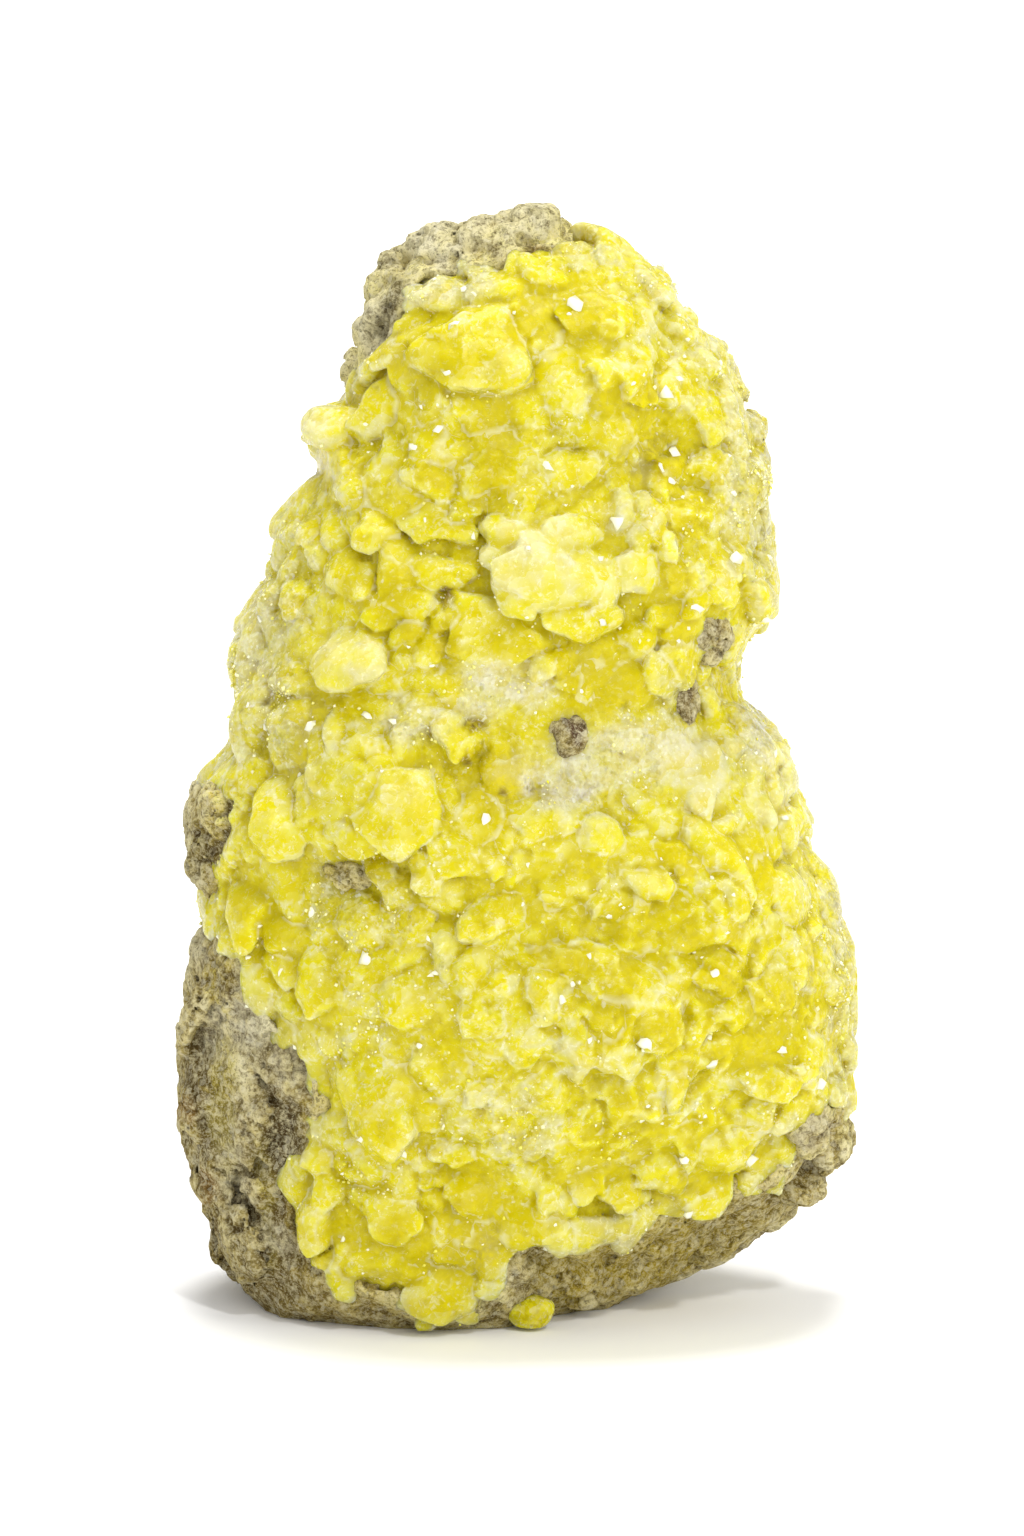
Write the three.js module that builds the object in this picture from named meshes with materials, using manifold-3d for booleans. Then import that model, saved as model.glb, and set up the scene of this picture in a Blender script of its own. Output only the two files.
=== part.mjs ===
// Sulfur specimen: an upright lump of host rock with a thick crust of grown-together sulfur crystals
// over its front and right side. Millimetres, +Z up, standing on its foot at z = 0.
//
// The lump is drawn on a face plane that leans back a little: across runs to the right, up runs up the
// face and into runs away from the viewer. Every outline and crystal place below is given on that plane.

import * as THREE from 'three';
import { ConvexGeometry } from 'three/addons/geometries/ConvexGeometry.js';
import { mergeVertices } from 'three/addons/utils/BufferGeometryUtils.js';
import Module from 'manifold-3d';

const wasm = await Module();
wasm.setup();

// Driving dimensions
const FACE_LEAN = THREE.MathUtils.degToRad(12);
const CENTRE = { across: -1, up: 57 };
const FRONT_DEPTH = 27;
const BACK_DEPTH = 25;
const ROUNDNESS = 2.5;
const TOP_TAPER = 0.68;
const TAPER_FROM = 45;
const TAPER_TO = 118;
const BODY_LEAN = 0.7;
const FOOT_INTO = -11.5;
const SHIFT = { x: 0.21, y: 7.6 };
const FLOOR_LIFT = 0.4;

const CRUST_LEVEL = 1.5;
const SKIN_LEVEL = 1.9;
const CRUST_THICKNESS = 2.8;
const CRUST_EDGE = 2.6;
const CRUST_ROOT = 1.4;
const BARE_LEVEL = 0.7;
const BORDER_DIP = 2;
const BORDER_WIDTH = 3.5;
const FIT_GAP = 0.36;
const RIGHT_WRAP = 8;
const LEFT_WRAP = 3;
const WRAP_WANDER = 2.5;
const LEDGE_RECESS = 5;

const ROCK_DETAIL = 8;
const SKIN_DETAIL = 6;
const LARGE_CORNERS = 11;
const SMALL_CORNERS = 6;
const STRETCH = new THREE.Vector3(37, 60, -27);

// Outline of the whole lump on the face plane, clockwise from the upper left: [across, up]
const OUTLINE = [
  [-12.1, 115.5], [-9.2, 118], [-5.2, 119.2], [2.4, 120.2], [6.4, 117.4], [11.6, 116.3],
  [15.8, 112.6], [17.4, 109.5], [21.6, 105.8], [23.5, 102.6], [25.3, 97.4], [26.2, 94.7],
  [27.4, 83.2], [27.5, 79], [26.6, 76.2], [24.6, 73.4], [24.3, 68.4], [26.4, 66.4],
  [29, 63.2], [30.1, 59.5], [31.6, 54.7], [31.5, 51.6], [33.7, 47.4], [34.4, 43],
  [36, 38], [36.7, 33.7], [36.4, 27], [36.4, 20], [34.3, 16.8], [30.6, 13.2], [27.4, 10.2],
  [19.5, 5.5], [16, 2], [10, -4], [2, -10], [-8, -12.5], [-18, -11], [-26, -4], [-29.5, 4],
  [-31.7, 8.4], [-33.1, 13.7], [-34.5, 16.8], [-36.3, 24.5], [-35.9, 31.6], [-34.5, 39],
  [-33.1, 46.3], [-34.7, 52], [-34.2, 57], [-30.8, 62.6], [-30.3, 67.4], [-29.4, 73.2],
  [-27.8, 77.9], [-25.9, 82.6], [-24.2, 87.4], [-21.6, 92], [-21.5, 98.1], [-17.8, 100],
  [-16.8, 105.3], [-15.7, 109.5], [-14.4, 113.5],
];

// Edge of the crust on the face plane: along the top, round beyond the right side, back along the foot
// and up the left side
const CRUST_BORDER = [
  [-17.5, 100], [-13.5, 104], [-12.5, 108.5], [-10, 112.5], [-4.5, 113.5], [3, 114.5], [7.5, 116.5],
  [9, 130], [50, 120], [50, 28], [36, 25], [32, 24], [30, 20.5], [26, 16.5], [21, 15], [14, 11.5],
  [5, 10.5], [1.5, 12], [-1.5, 10.5], [-2.5, 7], [-3.5, 3], [-8, 0.5], [-11.5, 4], [-16, 5.5],
  [-21, 8.5], [-24.5, 13.5], [-22, 20.5], [-21, 22.5], [-21.5, 30], [-26.5, 34.5], [-29, 39.5],
  [-33, 46.5], [-29.5, 52], [-30.5, 58], [-31, 62.5], [-45, 66], [-45, 100],
];

// Larger crystals of the crust: [across, up, half width, half height, rise, turn]
// The rise is how far one stands above the crust around it, and the turn is in degrees.
const CRYSTALS = [
  // top and right shoulder
  [-4.3, 104, 5.6, 6.2, 2.4, 0], [-7.8, 110, 3.8, 2.3, 1.6, 0], [3.1, 112.4, 3, 1.9, 1.8, -10],
  [7.4, 108.3, 4.6, 4.2, 2, 0], [9.9, 114.9, 3.6, 1.9, 1.8, 10], [14.8, 111, 2.5, 3.3, 1.8, 0],
  [16.4, 106.3, 2.6, 2.3, 1.5, 0], [16.4, 99.9, 3.6, 4, 2.2, 0], [9.4, 101.7, 3, 1.6, 1.6, 0],
  [19.9, 97, 2.4, 3.4, 1.7, 0], [18.7, 107.2, 1.6, 1.8, 1.3, 0], [21.3, 104.5, 1.5, 1.7, 1.3, 0],
  [23.4, 100.3, 1.7, 1.9, 1.3, 0], [25, 96.2, 1.7, 1.9, 1.3, 0], [25.6, 91.4, 1.8, 2, 1.3, 0],
  // left shoulder
  [-19.6, 95.8, 2.8, 2.8, 2.6, 0], [-13.7, 97.5, 4.5, 3.3, 2.2, 0], [-15.2, 92.9, 2.2, 2.2, 1.8, 0],
  [-7.7, 86.1, 3.6, 2.9, 1.9, 0], [-14.3, 84.6, 2.8, 2.8, 1.8, 0], [-21.3, 84.4, 1.9, 1.8, 1.4, 0],
  [-17.6, 80.5, 3, 4.1, 1.9, 0], [-8.5, 80.5, 3.4, 2.5, 1.8, 0], [-10.9, 74.2, 1.9, 1.9, 1.6, 0],
  [-17.2, 71.4, 4.7, 4.4, 2.8, 0], [-22.5, 77.5, 2.2, 2.6, 1.5, 0], [-24.2, 70.3, 2.4, 3, 1.5, 0],
  // middle
  [4.9, 91.5, 3.4, 2.9, 1.9, 0], [-2.7, 74.5, 5.6, 3.9, 1.9, 0], [3, 81.2, 6.3, 5.2, 3.1, 0],
  [-1.2, 85.4, 2.7, 2.7, 2.4, 0], [12.2, 80.9, 2.8, 2.5, 2.6, 0], [6.6, 76.3, 4.8, 3.3, 2.5, 0],
  [13.1, 73.7, 2.4, 2.8, 2.1, 0], [11, 86.7, 2.1, 2.1, 2.3, 0], [16.1, 83.1, 2.1, 1.7, 1.8, 0],
  [19.4, 86.7, 3.8, 4.1, 1.8, 0], [24.8, 86, 2.1, 2.4, 1.4, 0], [24.4, 78.4, 3.2, 2.8, 2.2, 0],
  [26, 82.3, 1.5, 1.9, 1.3, 0], [2.5, 66.5, 4.6, 3.4, 1.8, 0], [12.6, 64.5, 4.6, 4, 1.9, 25],
  // middle right
  [21.3, 67.2, 2.7, 2.3, 1.8, 0], [19.9, 59.7, 3.4, 4.2, 2.5, 0], [27.4, 62.6, 2.3, 2.8, 1.6, 0],
  [28.1, 59, 2.5, 3.6, 1.8, 0], [28.3, 53.7, 2.7, 2.7, 1.9, 0], [15.7, 55.1, 4.1, 2.3, 1.7, 0],
  [8.5, 52.6, 2.8, 2.5, 1.8, 0], [13.8, 48.5, 3, 2.1, 1.8, 0], [9.8, 46.4, 2.4, 2.4, 1.8, 0],
  [22.7, 46.9, 3.3, 2.5, 1.8, 0], [28.4, 46.6, 4.7, 4.2, 2.2, 0], [21.8, 38.5, 3.6, 2.8, 1.7, 0],
  [27.2, 37.1, 3.8, 3.1, 1.9, 0], [33.8, 38, 2.6, 3.4, 2, 0], [34.4, 31.6, 2.6, 3.4, 2, 0],
  [33.6, 25.8, 2.4, 2.6, 1.8, 0], [31.4, 43.2, 2.4, 2.6, 2, 0],
  // middle left
  [-24.3, 54.3, 5.2, 3.4, 3.2, -59], [-11.8, 56.1, 4.5, 4.8, 2.8, 0], [-16.4, 53.4, 3.3, 2.3, 1.8, 0],
  [-27.1, 45.1, 4.1, 4.7, 2.4, 0], [-9.1, 50.2, 2.1, 2.3, 1.9, 0], [-14.5, 43.8, 4.8, 3.3, 2, 0],
  [-20.2, 37.3, 3.1, 4.3, 2.3, 12], [-2.4, 45.9, 3.8, 4.7, 2, 0], [-22.5, 63.2, 4.6, 4.4, 1.8, 0],
  [-5.6, 63.2, 3.4, 3, 1.7, 0],
  // lower middle
  [-1, 43.2, 4.1, 2.8, 1.7, 0], [4.2, 36.5, 3.3, 3, 2.6, 0], [-11.5, 36, 3.8, 3.8, 1.9, 0],
  [-8.9, 30.3, 2.7, 3, 1.8, 0], [-3.5, 34.3, 3, 2.8, 1.9, 0], [-15, 26.4, 6.4, 4.9, 2.9, -45],
  [14.5, 34, 3.8, 3.4, 1.8, 0], [12, 26.5, 4.2, 3.6, 1.8, 0], [27, 28.6, 4.2, 3.8, 1.9, 0],
  [3.5, 27.5, 3.6, 4, 1.7, 0],
  // ledge and foot
  [-13.6, 13.8, 3.9, 4.9, 2.3, 0], [-21, 12.8, 3, 3.8, 2, 0], [-19.5, 19.2, 2.8, 2.8, 1.9, 0],
  [-3.7, 15.4, 3.3, 4.5, 2.2, 0], [-6.2, 20.7, 2.8, 2.5, 1.8, 0], [-14.2, 7.8, 4.1, 2.2, 1.9, 0],
  [-7.5, 5.4, 4, 3.9, 2.4, 0], [7.9, 17.4, 2.5, 2.8, 2, 0], [11.4, 15.9, 3, 2.8, 2.1, 0],
  [15.6, 17.6, 3.8, 3, 2.3, 0], [22.2, 20.9, 3.8, 2.9, 2.2, 0], [4, 15.2, 2.4, 2.6, 1.9, 0],
];

// Small crystals scattered between the larger ones and round the crust's sides
const SCATTER_COUNT = 40;
const SCATTER_TRIES = 6000;
const SCATTER_RADIUS = [1.4, 2.4];
const SCATTER_SPACING = 0.8;
const SCATTER_COVER = 1.6;

// Bits of host rock that show through the crust: [across, up, half width, half height]
const ROCK_BITS = [
  [5.6, 63.5, 2.2, 2.2], [12.8, 91.3, 1.4, 1.4], [17.7, 67.2, 1.7, 3], [20.8, 74.2, 2.4, 3.2],
  [-17.2, 49.2, 3.2, 1.7], [31.2, 21.6, 2, 2.8], [-3.6, 65.4, 1.2, 1.2],
];

// Lumps on the bare rock: [across, up, half width, half height]
const ROCK_LUMPS = [
  [3.5, 8.4, 3.2, 3], [7, 6.6, 3, 3.2], [12.4, 5.8, 3.4, 3], [18, 8.6, 3.4, 2.6], [24, 12.2, 3.2, 2.4],
  [7.6, 2.6, 2.6, 1.9], [31, 15, 3, 2.2], [34.4, 20, 2.4, 3.4], [-34.2, 23.8, 2.4, 3.6], [-32, 15.8, 2.2, 2.6],
  [-24.5, 28.5, 2.8, 4], [-31.5, 56.5, 3.2, 3.6], [-17, 102.2, 2.4, 2.6], [-14.8, 110.5, 2.6, 4],
  [-9.2, 116, 3.2, 2.6], [-3, 117.2, 4, 2.4], [2.4, 118.4, 3, 2.2],
];

// Broad swells and hollows of the front: [across, up, radius, height]
const SWELLS = [
  [-20, 56, 9, 2.4], [3, 80, 9, 2.2], [-4, 104, 8, 1.2], [-17, 48.5, 5, -2.6], [10, 66, 10, -2.6],
  [0, 28, 20, 2], [16, 94, 5, -1.8], [24, 71, 7, -2], [26, 46, 9, 1], [-12, 90, 6, -1],
];

// Flat faces where the lump broke from its bed: the way each one faces, across, up and into, and how far
// it is from the centre
const BREAKS = [
  { facing: [0.12, 0.1, 1], away: 21.5 }, { facing: [-0.72, 0.05, 0.62], away: 31 },
  { facing: [0.6, -0.05, 0.8], away: 29 }, { facing: [-0.1, 0.62, 0.7], away: 47 },
  { facing: [0.15, -0.55, 0.75], away: 37 }, { facing: [-0.6, -0.05, -0.8], away: 31 },
];
const BREAK_SHARPNESS = 20;

// The one crystal that sits apart on the rock at the foot
const FOOT_CRYSTAL = [1.7, 3, 2.4, 1.9, 2, 0];
const FOOT_CRYSTAL_INSET = 3.5;

// Colours, as sRGB
const SULFUR_COLOUR = 0xe6d75c;
const ROCK_COLOUR = 0xa99b72;

function makeRandom(seed) {
  let state = seed;
  return () => {
    state = (state * 1664525 + 1013904223) % 4294967296;
    return state / 4294967296;
  };
}

function smoothStep(from, to, value) {
  const t = THREE.MathUtils.clamp((value - from) / (to - from), 0, 1);
  return t * t * (3 - 2 * t);
}

// Closed curve through the outline, as radius against angle about the centre
function makeReach(points) {
  const steps = 12;
  const count = points.length;
  const samples = [];
  for (let i = 0; i < count; i++) {
    const [a, b, c, d] = [-1, 0, 1, 2].map((k) => points[(i + k + count) % count]);
    for (let j = 0; j < steps; j++) {
      const t = j / steps;
      const at = [0, 1].map((axis) => 0.5 * (2 * b[axis] + (c[axis] - a[axis]) * t
        + (2 * a[axis] - 5 * b[axis] + 4 * c[axis] - d[axis]) * t * t
        + (3 * b[axis] - a[axis] - 3 * c[axis] + d[axis]) * t * t * t));
      const x = at[0] - CENTRE.across;
      const y = at[1] - CENTRE.up;
      samples.push({ angle: Math.atan2(y, x), reach: Math.hypot(x, y) });
    }
  }
  samples.sort((first, second) => first.angle - second.angle);
  return (angle) => {
    let low = 0;
    let high = samples.length;
    while (low < high) {
      const middle = (low + high) >> 1;
      if (samples[middle].angle < angle) low = middle + 1;
      else high = middle;
    }
    const after = samples[low % samples.length];
    const before = samples[(low + samples.length - 1) % samples.length];
    const turn = 2 * Math.PI;
    const span = ((after.angle - before.angle) % turn + turn) % turn || turn;
    const part = ((angle - before.angle) % turn + turn) % turn / span;
    return THREE.MathUtils.lerp(before.reach, after.reach, part);
  };
}

const reachAt = makeReach(OUTLINE);

// How much further an inset must go where the outline runs at a slant to its radius
function slantAt(angle) {
  const step = 0.12;
  const slope = (reachAt(angle + step) - reachAt(angle - step)) / (2 * step) / reachAt(angle);
  return Math.min(Math.hypot(1, slope), 1.6);
}

function taperAt(up) {
  return THREE.MathUtils.lerp(1, TOP_TAPER, smoothStep(TAPER_FROM, TAPER_TO, up));
}

function leanAt(up) {
  return -(up - CENTRE.up) * Math.tan(FACE_LEAN) * BODY_LEAN;
}

function toWorld(across, up, into) {
  const y = up * Math.sin(FACE_LEAN) + into * Math.cos(FACE_LEAN) - SHIFT.y;
  const z = up * Math.cos(FACE_LEAN) - (into - FOOT_INTO) * Math.sin(FACE_LEAN);
  return new THREE.Vector3(across - SHIFT.x, y, z);
}

// Size of the lump's rounded form that passes through a place, 1 on its surface. Depth here is before the
// taper and the lean.
function roundSize(x, y, depth) {
  const flat = Math.hypot(x, y) / reachAt(Math.atan2(y, x));
  const deep = Math.abs(depth) / (depth < 0 ? FRONT_DEPTH : BACK_DEPTH);
  return (flat ** ROUNDNESS + deep ** ROUNDNESS) ** (1 / ROUNDNESS);
}

// The same with the broken faces, softened where they meet
function lumpSize(x, y, depth) {
  let sum = roundSize(x, y, depth) ** BREAK_SHARPNESS;
  for (const { facing, away } of BREAKS) {
    const [nx, ny, nz] = facing;
    const cut = (nx * x + ny * y + nz * depth) / Math.hypot(nx, ny, nz) / away;
    sum += Math.max(cut, 0) ** BREAK_SHARPNESS;
  }
  return sum ** (1 / BREAK_SHARPNESS);
}

// Place on the lump, sunk by an inset, from a place on its surface before the taper and the lean
function settle(x, y, depth, inset) {
  const angle = Math.atan2(y, x);
  const reach = reachAt(angle);
  const shrink = 1 - inset * slantAt(angle) / reach;
  const up = CENTRE.up + y * shrink;
  const full = depth < 0 ? FRONT_DEPTH : BACK_DEPTH;
  const into = depth * (taperAt(up) - inset / full) + leanAt(up);
  return { across: CENTRE.across + x * shrink, up, into, x, y, depth };
}

// Point of the lump's surface in a direction, sunk by an inset
function surfacePoint(direction, inset) {
  const size = lumpSize(direction.x, direction.y, direction.z);
  return settle(direction.x / size, direction.y / size, direction.z / size, inset);
}

// Point of the lump's front at a place on the face plane, sunk by an inset
function frontPoint(across, up, inset) {
  const angle = Math.atan2(up - CENTRE.up, across - CENTRE.across);
  const shrink = 1 - inset * slantAt(angle) / reachAt(angle);
  const x = (across - CENTRE.across) / shrink;
  const y = (up - CENTRE.up) / shrink;
  let near = -FRONT_DEPTH;
  let far = 0;
  for (let i = 0; i < 24; i++) {
    const middle = (near + far) / 2;
    if (lumpSize(x, y, middle) > 1) near = middle;
    else far = middle;
  }
  return settle(x, y, far, inset);
}

// The way the surface faces at a point, on the axes across, up and into
function facingAt({ x, y, depth }) {
  const step = 0.5;
  return new THREE.Vector3(
    lumpSize(x + step, y, depth) - lumpSize(x - step, y, depth),
    lumpSize(x, y + step, depth) - lumpSize(x, y - step, depth),
    lumpSize(x, y, depth + step) - lumpSize(x, y, depth - step)).normalize();
}

// How squarely a point faces front or back, 0 at the outline and 1 at the deepest place
function facingDepth(point) {
  return Math.min(Math.abs(point.depth) / (point.depth < 0 ? FRONT_DEPTH : BACK_DEPTH), 1);
}

// Signed distance to the crust's edge on the face plane, positive where there is crust
function insideBorder(across, up) {
  let nearest = Infinity;
  let inside = false;
  for (let i = 0; i < CRUST_BORDER.length; i++) {
    const [ax, ay] = CRUST_BORDER[i];
    const [bx, by] = CRUST_BORDER[(i + 1) % CRUST_BORDER.length];
    const along = THREE.MathUtils.clamp(
      ((across - ax) * (bx - ax) + (up - ay) * (by - ay)) / ((bx - ax) ** 2 + (by - ay) ** 2), 0, 1);
    nearest = Math.min(nearest, Math.hypot(across - ax - along * (bx - ax), up - ay - along * (by - ay)));
    if ((ay > up) !== (by > up) && across < ax + (bx - ax) * (up - ay) / (by - ay)) inside = !inside;
  }
  return inside ? nearest : -nearest;
}

function coverAt(point) {
  const { across, up, into, depth } = point;
  const wrap = THREE.MathUtils.lerp(LEFT_WRAP, RIGHT_WRAP, smoothStep(-10, 10, across));
  return Math.min(insideBorder(across, up), wrap + WRAP_WANDER * lumps(across, up, into) - depth);
}

// Uneven swell and dips from a few crossed waves, about -2 to 2 in height
function makeRelief(seed, waveLength, count) {
  const next = makeRandom(seed);
  const waves = [];
  for (let i = 0; i < count; i++) {
    const turn = 2 * Math.PI * next();
    const height = 2 * next() - 1;
    const pitch = 2 * Math.PI / (waveLength * (0.75 + 0.5 * next()));
    const side = Math.sqrt(1 - height * height);
    waves.push({
      pull: new THREE.Vector3(Math.cos(turn) * side, Math.sin(turn) * side, height).multiplyScalar(pitch),
      phase: 2 * Math.PI * next(),
    });
  }
  return (across, up, into) => waves.reduce(
    (sum, wave) => sum + Math.sin(wave.pull.x * across + wave.pull.y * up + wave.pull.z * into + wave.phase),
    0) / Math.sqrt(count / 2);
}

const swell = makeRelief(11, 34, 9);
const lumps = makeRelief(23, 14, 12);
const knobs = makeRelief(37, 7.5, 14);

// Swell of the whole lump, weak at its outline
function bodySwell(point) {
  const { across, up, into, depth } = point;
  const uneven = 0.7 * swell(across, up, into) + 0.45 * lumps(across, up, into);
  const placed = SWELLS.reduce((sum, [x, y, radius, height]) => {
    const near = ((across - x) ** 2 + (up - y) ** 2) / radius ** 2;
    return sum + height * Math.exp(-near);
  }, 0);
  const square = facingDepth(point);
  return (0.25 + 0.75 * square) * uneven + (depth < 0 ? square * placed : 0);
}

// Upright flutes down the bare left side
function flutes(point) {
  const left = smoothStep(-12, -26, point.across) * smoothStep(70, 45, point.up);
  const phase = (point.across + 0.5 * point.into) * 1.15 + 0.05 * point.up + lumps(0, point.up, 0);
  return left * Math.sin(phase);
}

// How far the rock draws back below the ledge at the lower right
function ledgeRecess(point, cover) {
  const right = smoothStep(-4, 6, point.across) * smoothStep(40, 26, point.up);
  const front = point.depth < 0 ? Math.min(1, 2 * facingDepth(point)) : 0;
  return LEDGE_RECESS * right * smoothStep(0, -4, cover) * front;
}

function rockInset(point) {
  const cover = coverAt(point);
  const under = (CRUST_LEVEL + CRUST_THICKNESS) * smoothStep(-0.5, CRUST_EDGE, cover);
  const dip = BORDER_DIP * smoothStep(-BORDER_WIDTH, 0, cover);
  const uneven = flutes(point) + 0.4 * knobs(point.across, point.up, point.into);
  const bare = BARE_LEVEL + ledgeRecess(point, cover) + dip - uneven;
  return Math.max(under, smoothStep(1, -1, cover) * bare, 0) - bodySwell(point);
}

function skinInset(point) {
  const cover = coverAt(point);
  const sunk = rockInset(point) + CRUST_ROOT;
  return THREE.MathUtils.lerp(sunk, SKIN_LEVEL - bodySwell(point), smoothStep(-0.6, 1.2, cover));
}

function toSolid(geometry) {
  geometry.deleteAttribute('normal');
  geometry.deleteAttribute('uv');
  const welded = mergeVertices(geometry, 1e-4);
  return new wasm.Manifold(new wasm.Mesh({
    numProp: 3,
    vertProperties: new Float32Array(welded.attributes.position.array),
    triVerts: new Uint32Array(welded.index.array),
  }));
}

// A closed skin over the whole lump, sunk at each point by an inset
function lumpSolid(detail, insetAt) {
  const geometry = new THREE.IcosahedronGeometry(1, detail);
  const position = geometry.attributes.position;
  const direction = new THREE.Vector3();
  for (let i = 0; i < position.count; i++) {
    direction.fromBufferAttribute(position, i).multiply(STRETCH).normalize();
    const outer = surfacePoint(direction, 0);
    const sunk = surfacePoint(direction, insetAt(outer));
    position.setXYZ(i, ...toWorld(sunk.across, sunk.up, sunk.into).toArray());
  }
  return toSolid(geometry);
}

// One crystal or lump: the hull of points spread unevenly over an ellipsoid that is set into the surface
function hullSolid(place, [halfWidth, halfHeight, rise, turn], corners, next, grow = 0) {
  const halfDepth = Math.max(0.85 * Math.sqrt(halfWidth * halfHeight), 0.9 * rise);
  const sink = facingAt(place).multiplyScalar(rise - halfDepth);
  const spin = THREE.MathUtils.degToRad(turn);
  const swing = 2 * Math.PI * next();
  const points = [];
  for (let i = 0; i < corners; i++) {
    const height = 1 - (2 * i + 1) / corners;
    const round = swing + i * Math.PI * (3 - Math.sqrt(5));
    const side = Math.sqrt(1 - height * height);
    const uneven = 1.04 + 0.16 * next();
    const x = Math.cos(round) * side * (halfWidth * uneven + grow);
    const y = Math.sin(round) * side * (halfHeight * uneven + grow);
    points.push(toWorld(
      place.across + x * Math.cos(spin) - y * Math.sin(spin) + sink.x,
      place.up + x * Math.sin(spin) + y * Math.cos(spin) + sink.y,
      place.into + height * (halfDepth * uneven + grow) + sink.z));
  }
  return toSolid(new ConvexGeometry(points));
}

// Place on the swollen front, sunk by an inset
function swollenFront(across, up, inset) {
  return frontPoint(across, up, inset - bodySwell(frontPoint(across, up, 0)));
}

// Small crystals between the larger ones
function scatterCrystals() {
  const next = makeRandom(5);
  const placed = CRYSTALS.map(([across, up, halfWidth, halfHeight]) => (
    { ...frontPoint(across, up, CRUST_LEVEL), radius: Math.min(halfWidth, halfHeight) }));
  placed.push(...ROCK_BITS.map(([across, up, halfWidth, halfHeight]) => (
    { ...frontPoint(across, up, CRUST_LEVEL), radius: Math.max(halfWidth, halfHeight) })));
  const crystals = [];
  for (let i = 0; i < SCATTER_TRIES && crystals.length < SCATTER_COUNT; i++) {
    const height = 2 * next() - 1;
    const turn = 2 * Math.PI * next();
    const side = Math.sqrt(1 - height * height);
    const radius = THREE.MathUtils.lerp(...SCATTER_RADIUS, next());
    const direction = new THREE.Vector3(side * Math.cos(turn), side * Math.sin(turn), height);
    direction.multiply(STRETCH).normalize();
    const outer = surfacePoint(direction, 0);
    if (coverAt(outer) < SCATTER_COVER || facingDepth(outer) > 0.6 + 0.6 * next()) continue;
    const place = surfacePoint(direction, CRUST_LEVEL - bodySwell(outer));
    const clear = placed.every((other) => {
      const apart = Math.hypot(place.across - other.across, place.up - other.up, place.into - other.into);
      return apart > SCATTER_SPACING * (radius + other.radius);
    });
    if (!clear) continue;
    placed.push({ ...place, radius });
    crystals.push({ place, shape: [radius, radius * (0.8 + 0.4 * next()), 0.65 * radius, 0] });
  }
  return crystals;
}

function floorBlock(height) {
  const block = new THREE.BoxGeometry(200, 200, 60);
  block.translate(0, 0, height - 30);
  return toSolid(block);
}

function largestPiece(solid) {
  return solid.decompose().reduce((best, piece) => (piece.volume() > best.volume() ? piece : best));
}

function rockSolid(grow) {
  const next = makeRandom(3);
  let solid = lumpSolid(ROCK_DETAIL, (point) => rockInset(point) - grow);
  for (const [across, up, halfWidth, halfHeight] of ROCK_BITS) {
    for (const [level, corners] of [[CRUST_LEVEL + 0.6, 14], [CRUST_LEVEL + CRUST_THICKNESS, 10]]) {
      const place = swollenFront(across, up, level);
      solid = solid.add(hullSolid(place, [halfWidth, halfHeight, 1.2, 0], corners, next, grow));
    }
  }
  for (const [across, up, halfWidth, halfHeight] of ROCK_LUMPS) {
    const place = swollenFront(across, up, up < 14 && across > -2 ? LEDGE_RECESS : 0.8);
    solid = solid.add(hullSolid(place, [halfWidth, halfHeight, 1, 0], 14, next, grow));
  }
  return solid;
}

function crustSolid(grownRock) {
  const next = makeRandom(7);
  let solid = lumpSolid(SKIN_DETAIL, skinInset);
  for (const [across, up, ...shape] of CRYSTALS) {
    solid = solid.add(hullSolid(swollenFront(across, up, CRUST_LEVEL), shape, LARGE_CORNERS, next));
  }
  for (const { place, shape } of scatterCrystals()) {
    solid = solid.add(hullSolid(place, shape, SMALL_CORNERS, next));
  }
  return largestPiece(solid.subtract(grownRock).subtract(floorBlock(FLOOR_LIFT)));
}

function footCrystalSolid(grownRock, crust) {
  const [across, up, ...shape] = FOOT_CRYSTAL;
  const crystal = hullSolid(swollenFront(across, up, FOOT_CRYSTAL_INSET), shape, 22, makeRandom(13));
  return largestPiece(crystal.subtract(grownRock).subtract(crust).subtract(floorBlock(FLOOR_LIFT)));
}

function toMesh(name, solid, colour, roughness) {
  const { vertProperties, triVerts } = solid.getMesh();
  const geometry = new THREE.BufferGeometry();
  geometry.setAttribute('position', new THREE.BufferAttribute(vertProperties, 3));
  geometry.setIndex(new THREE.BufferAttribute(triVerts, 1));
  geometry.computeVertexNormals();
  const mesh = new THREE.Mesh(geometry, new THREE.MeshStandardMaterial({ color: colour, roughness, metalness: 0 }));
  mesh.name = name;
  return mesh;
}

const rock = largestPiece(rockSolid(0).subtract(floorBlock(0)));
const grownRock = rockSolid(FIT_GAP);
const crust = crustSolid(grownRock);
const footCrystal = footCrystalSolid(grownRock, crust);

const group = new THREE.Group();
group.add(toMesh('host_rock', rock, ROCK_COLOUR, 0.95));
group.add(toMesh('sulfur_crust', crust, SULFUR_COLOUR, 0.45));
group.add(toMesh('foot_crystal', footCrystal, SULFUR_COLOUR, 0.45));

export default group;
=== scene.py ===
import functools
import math

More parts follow.
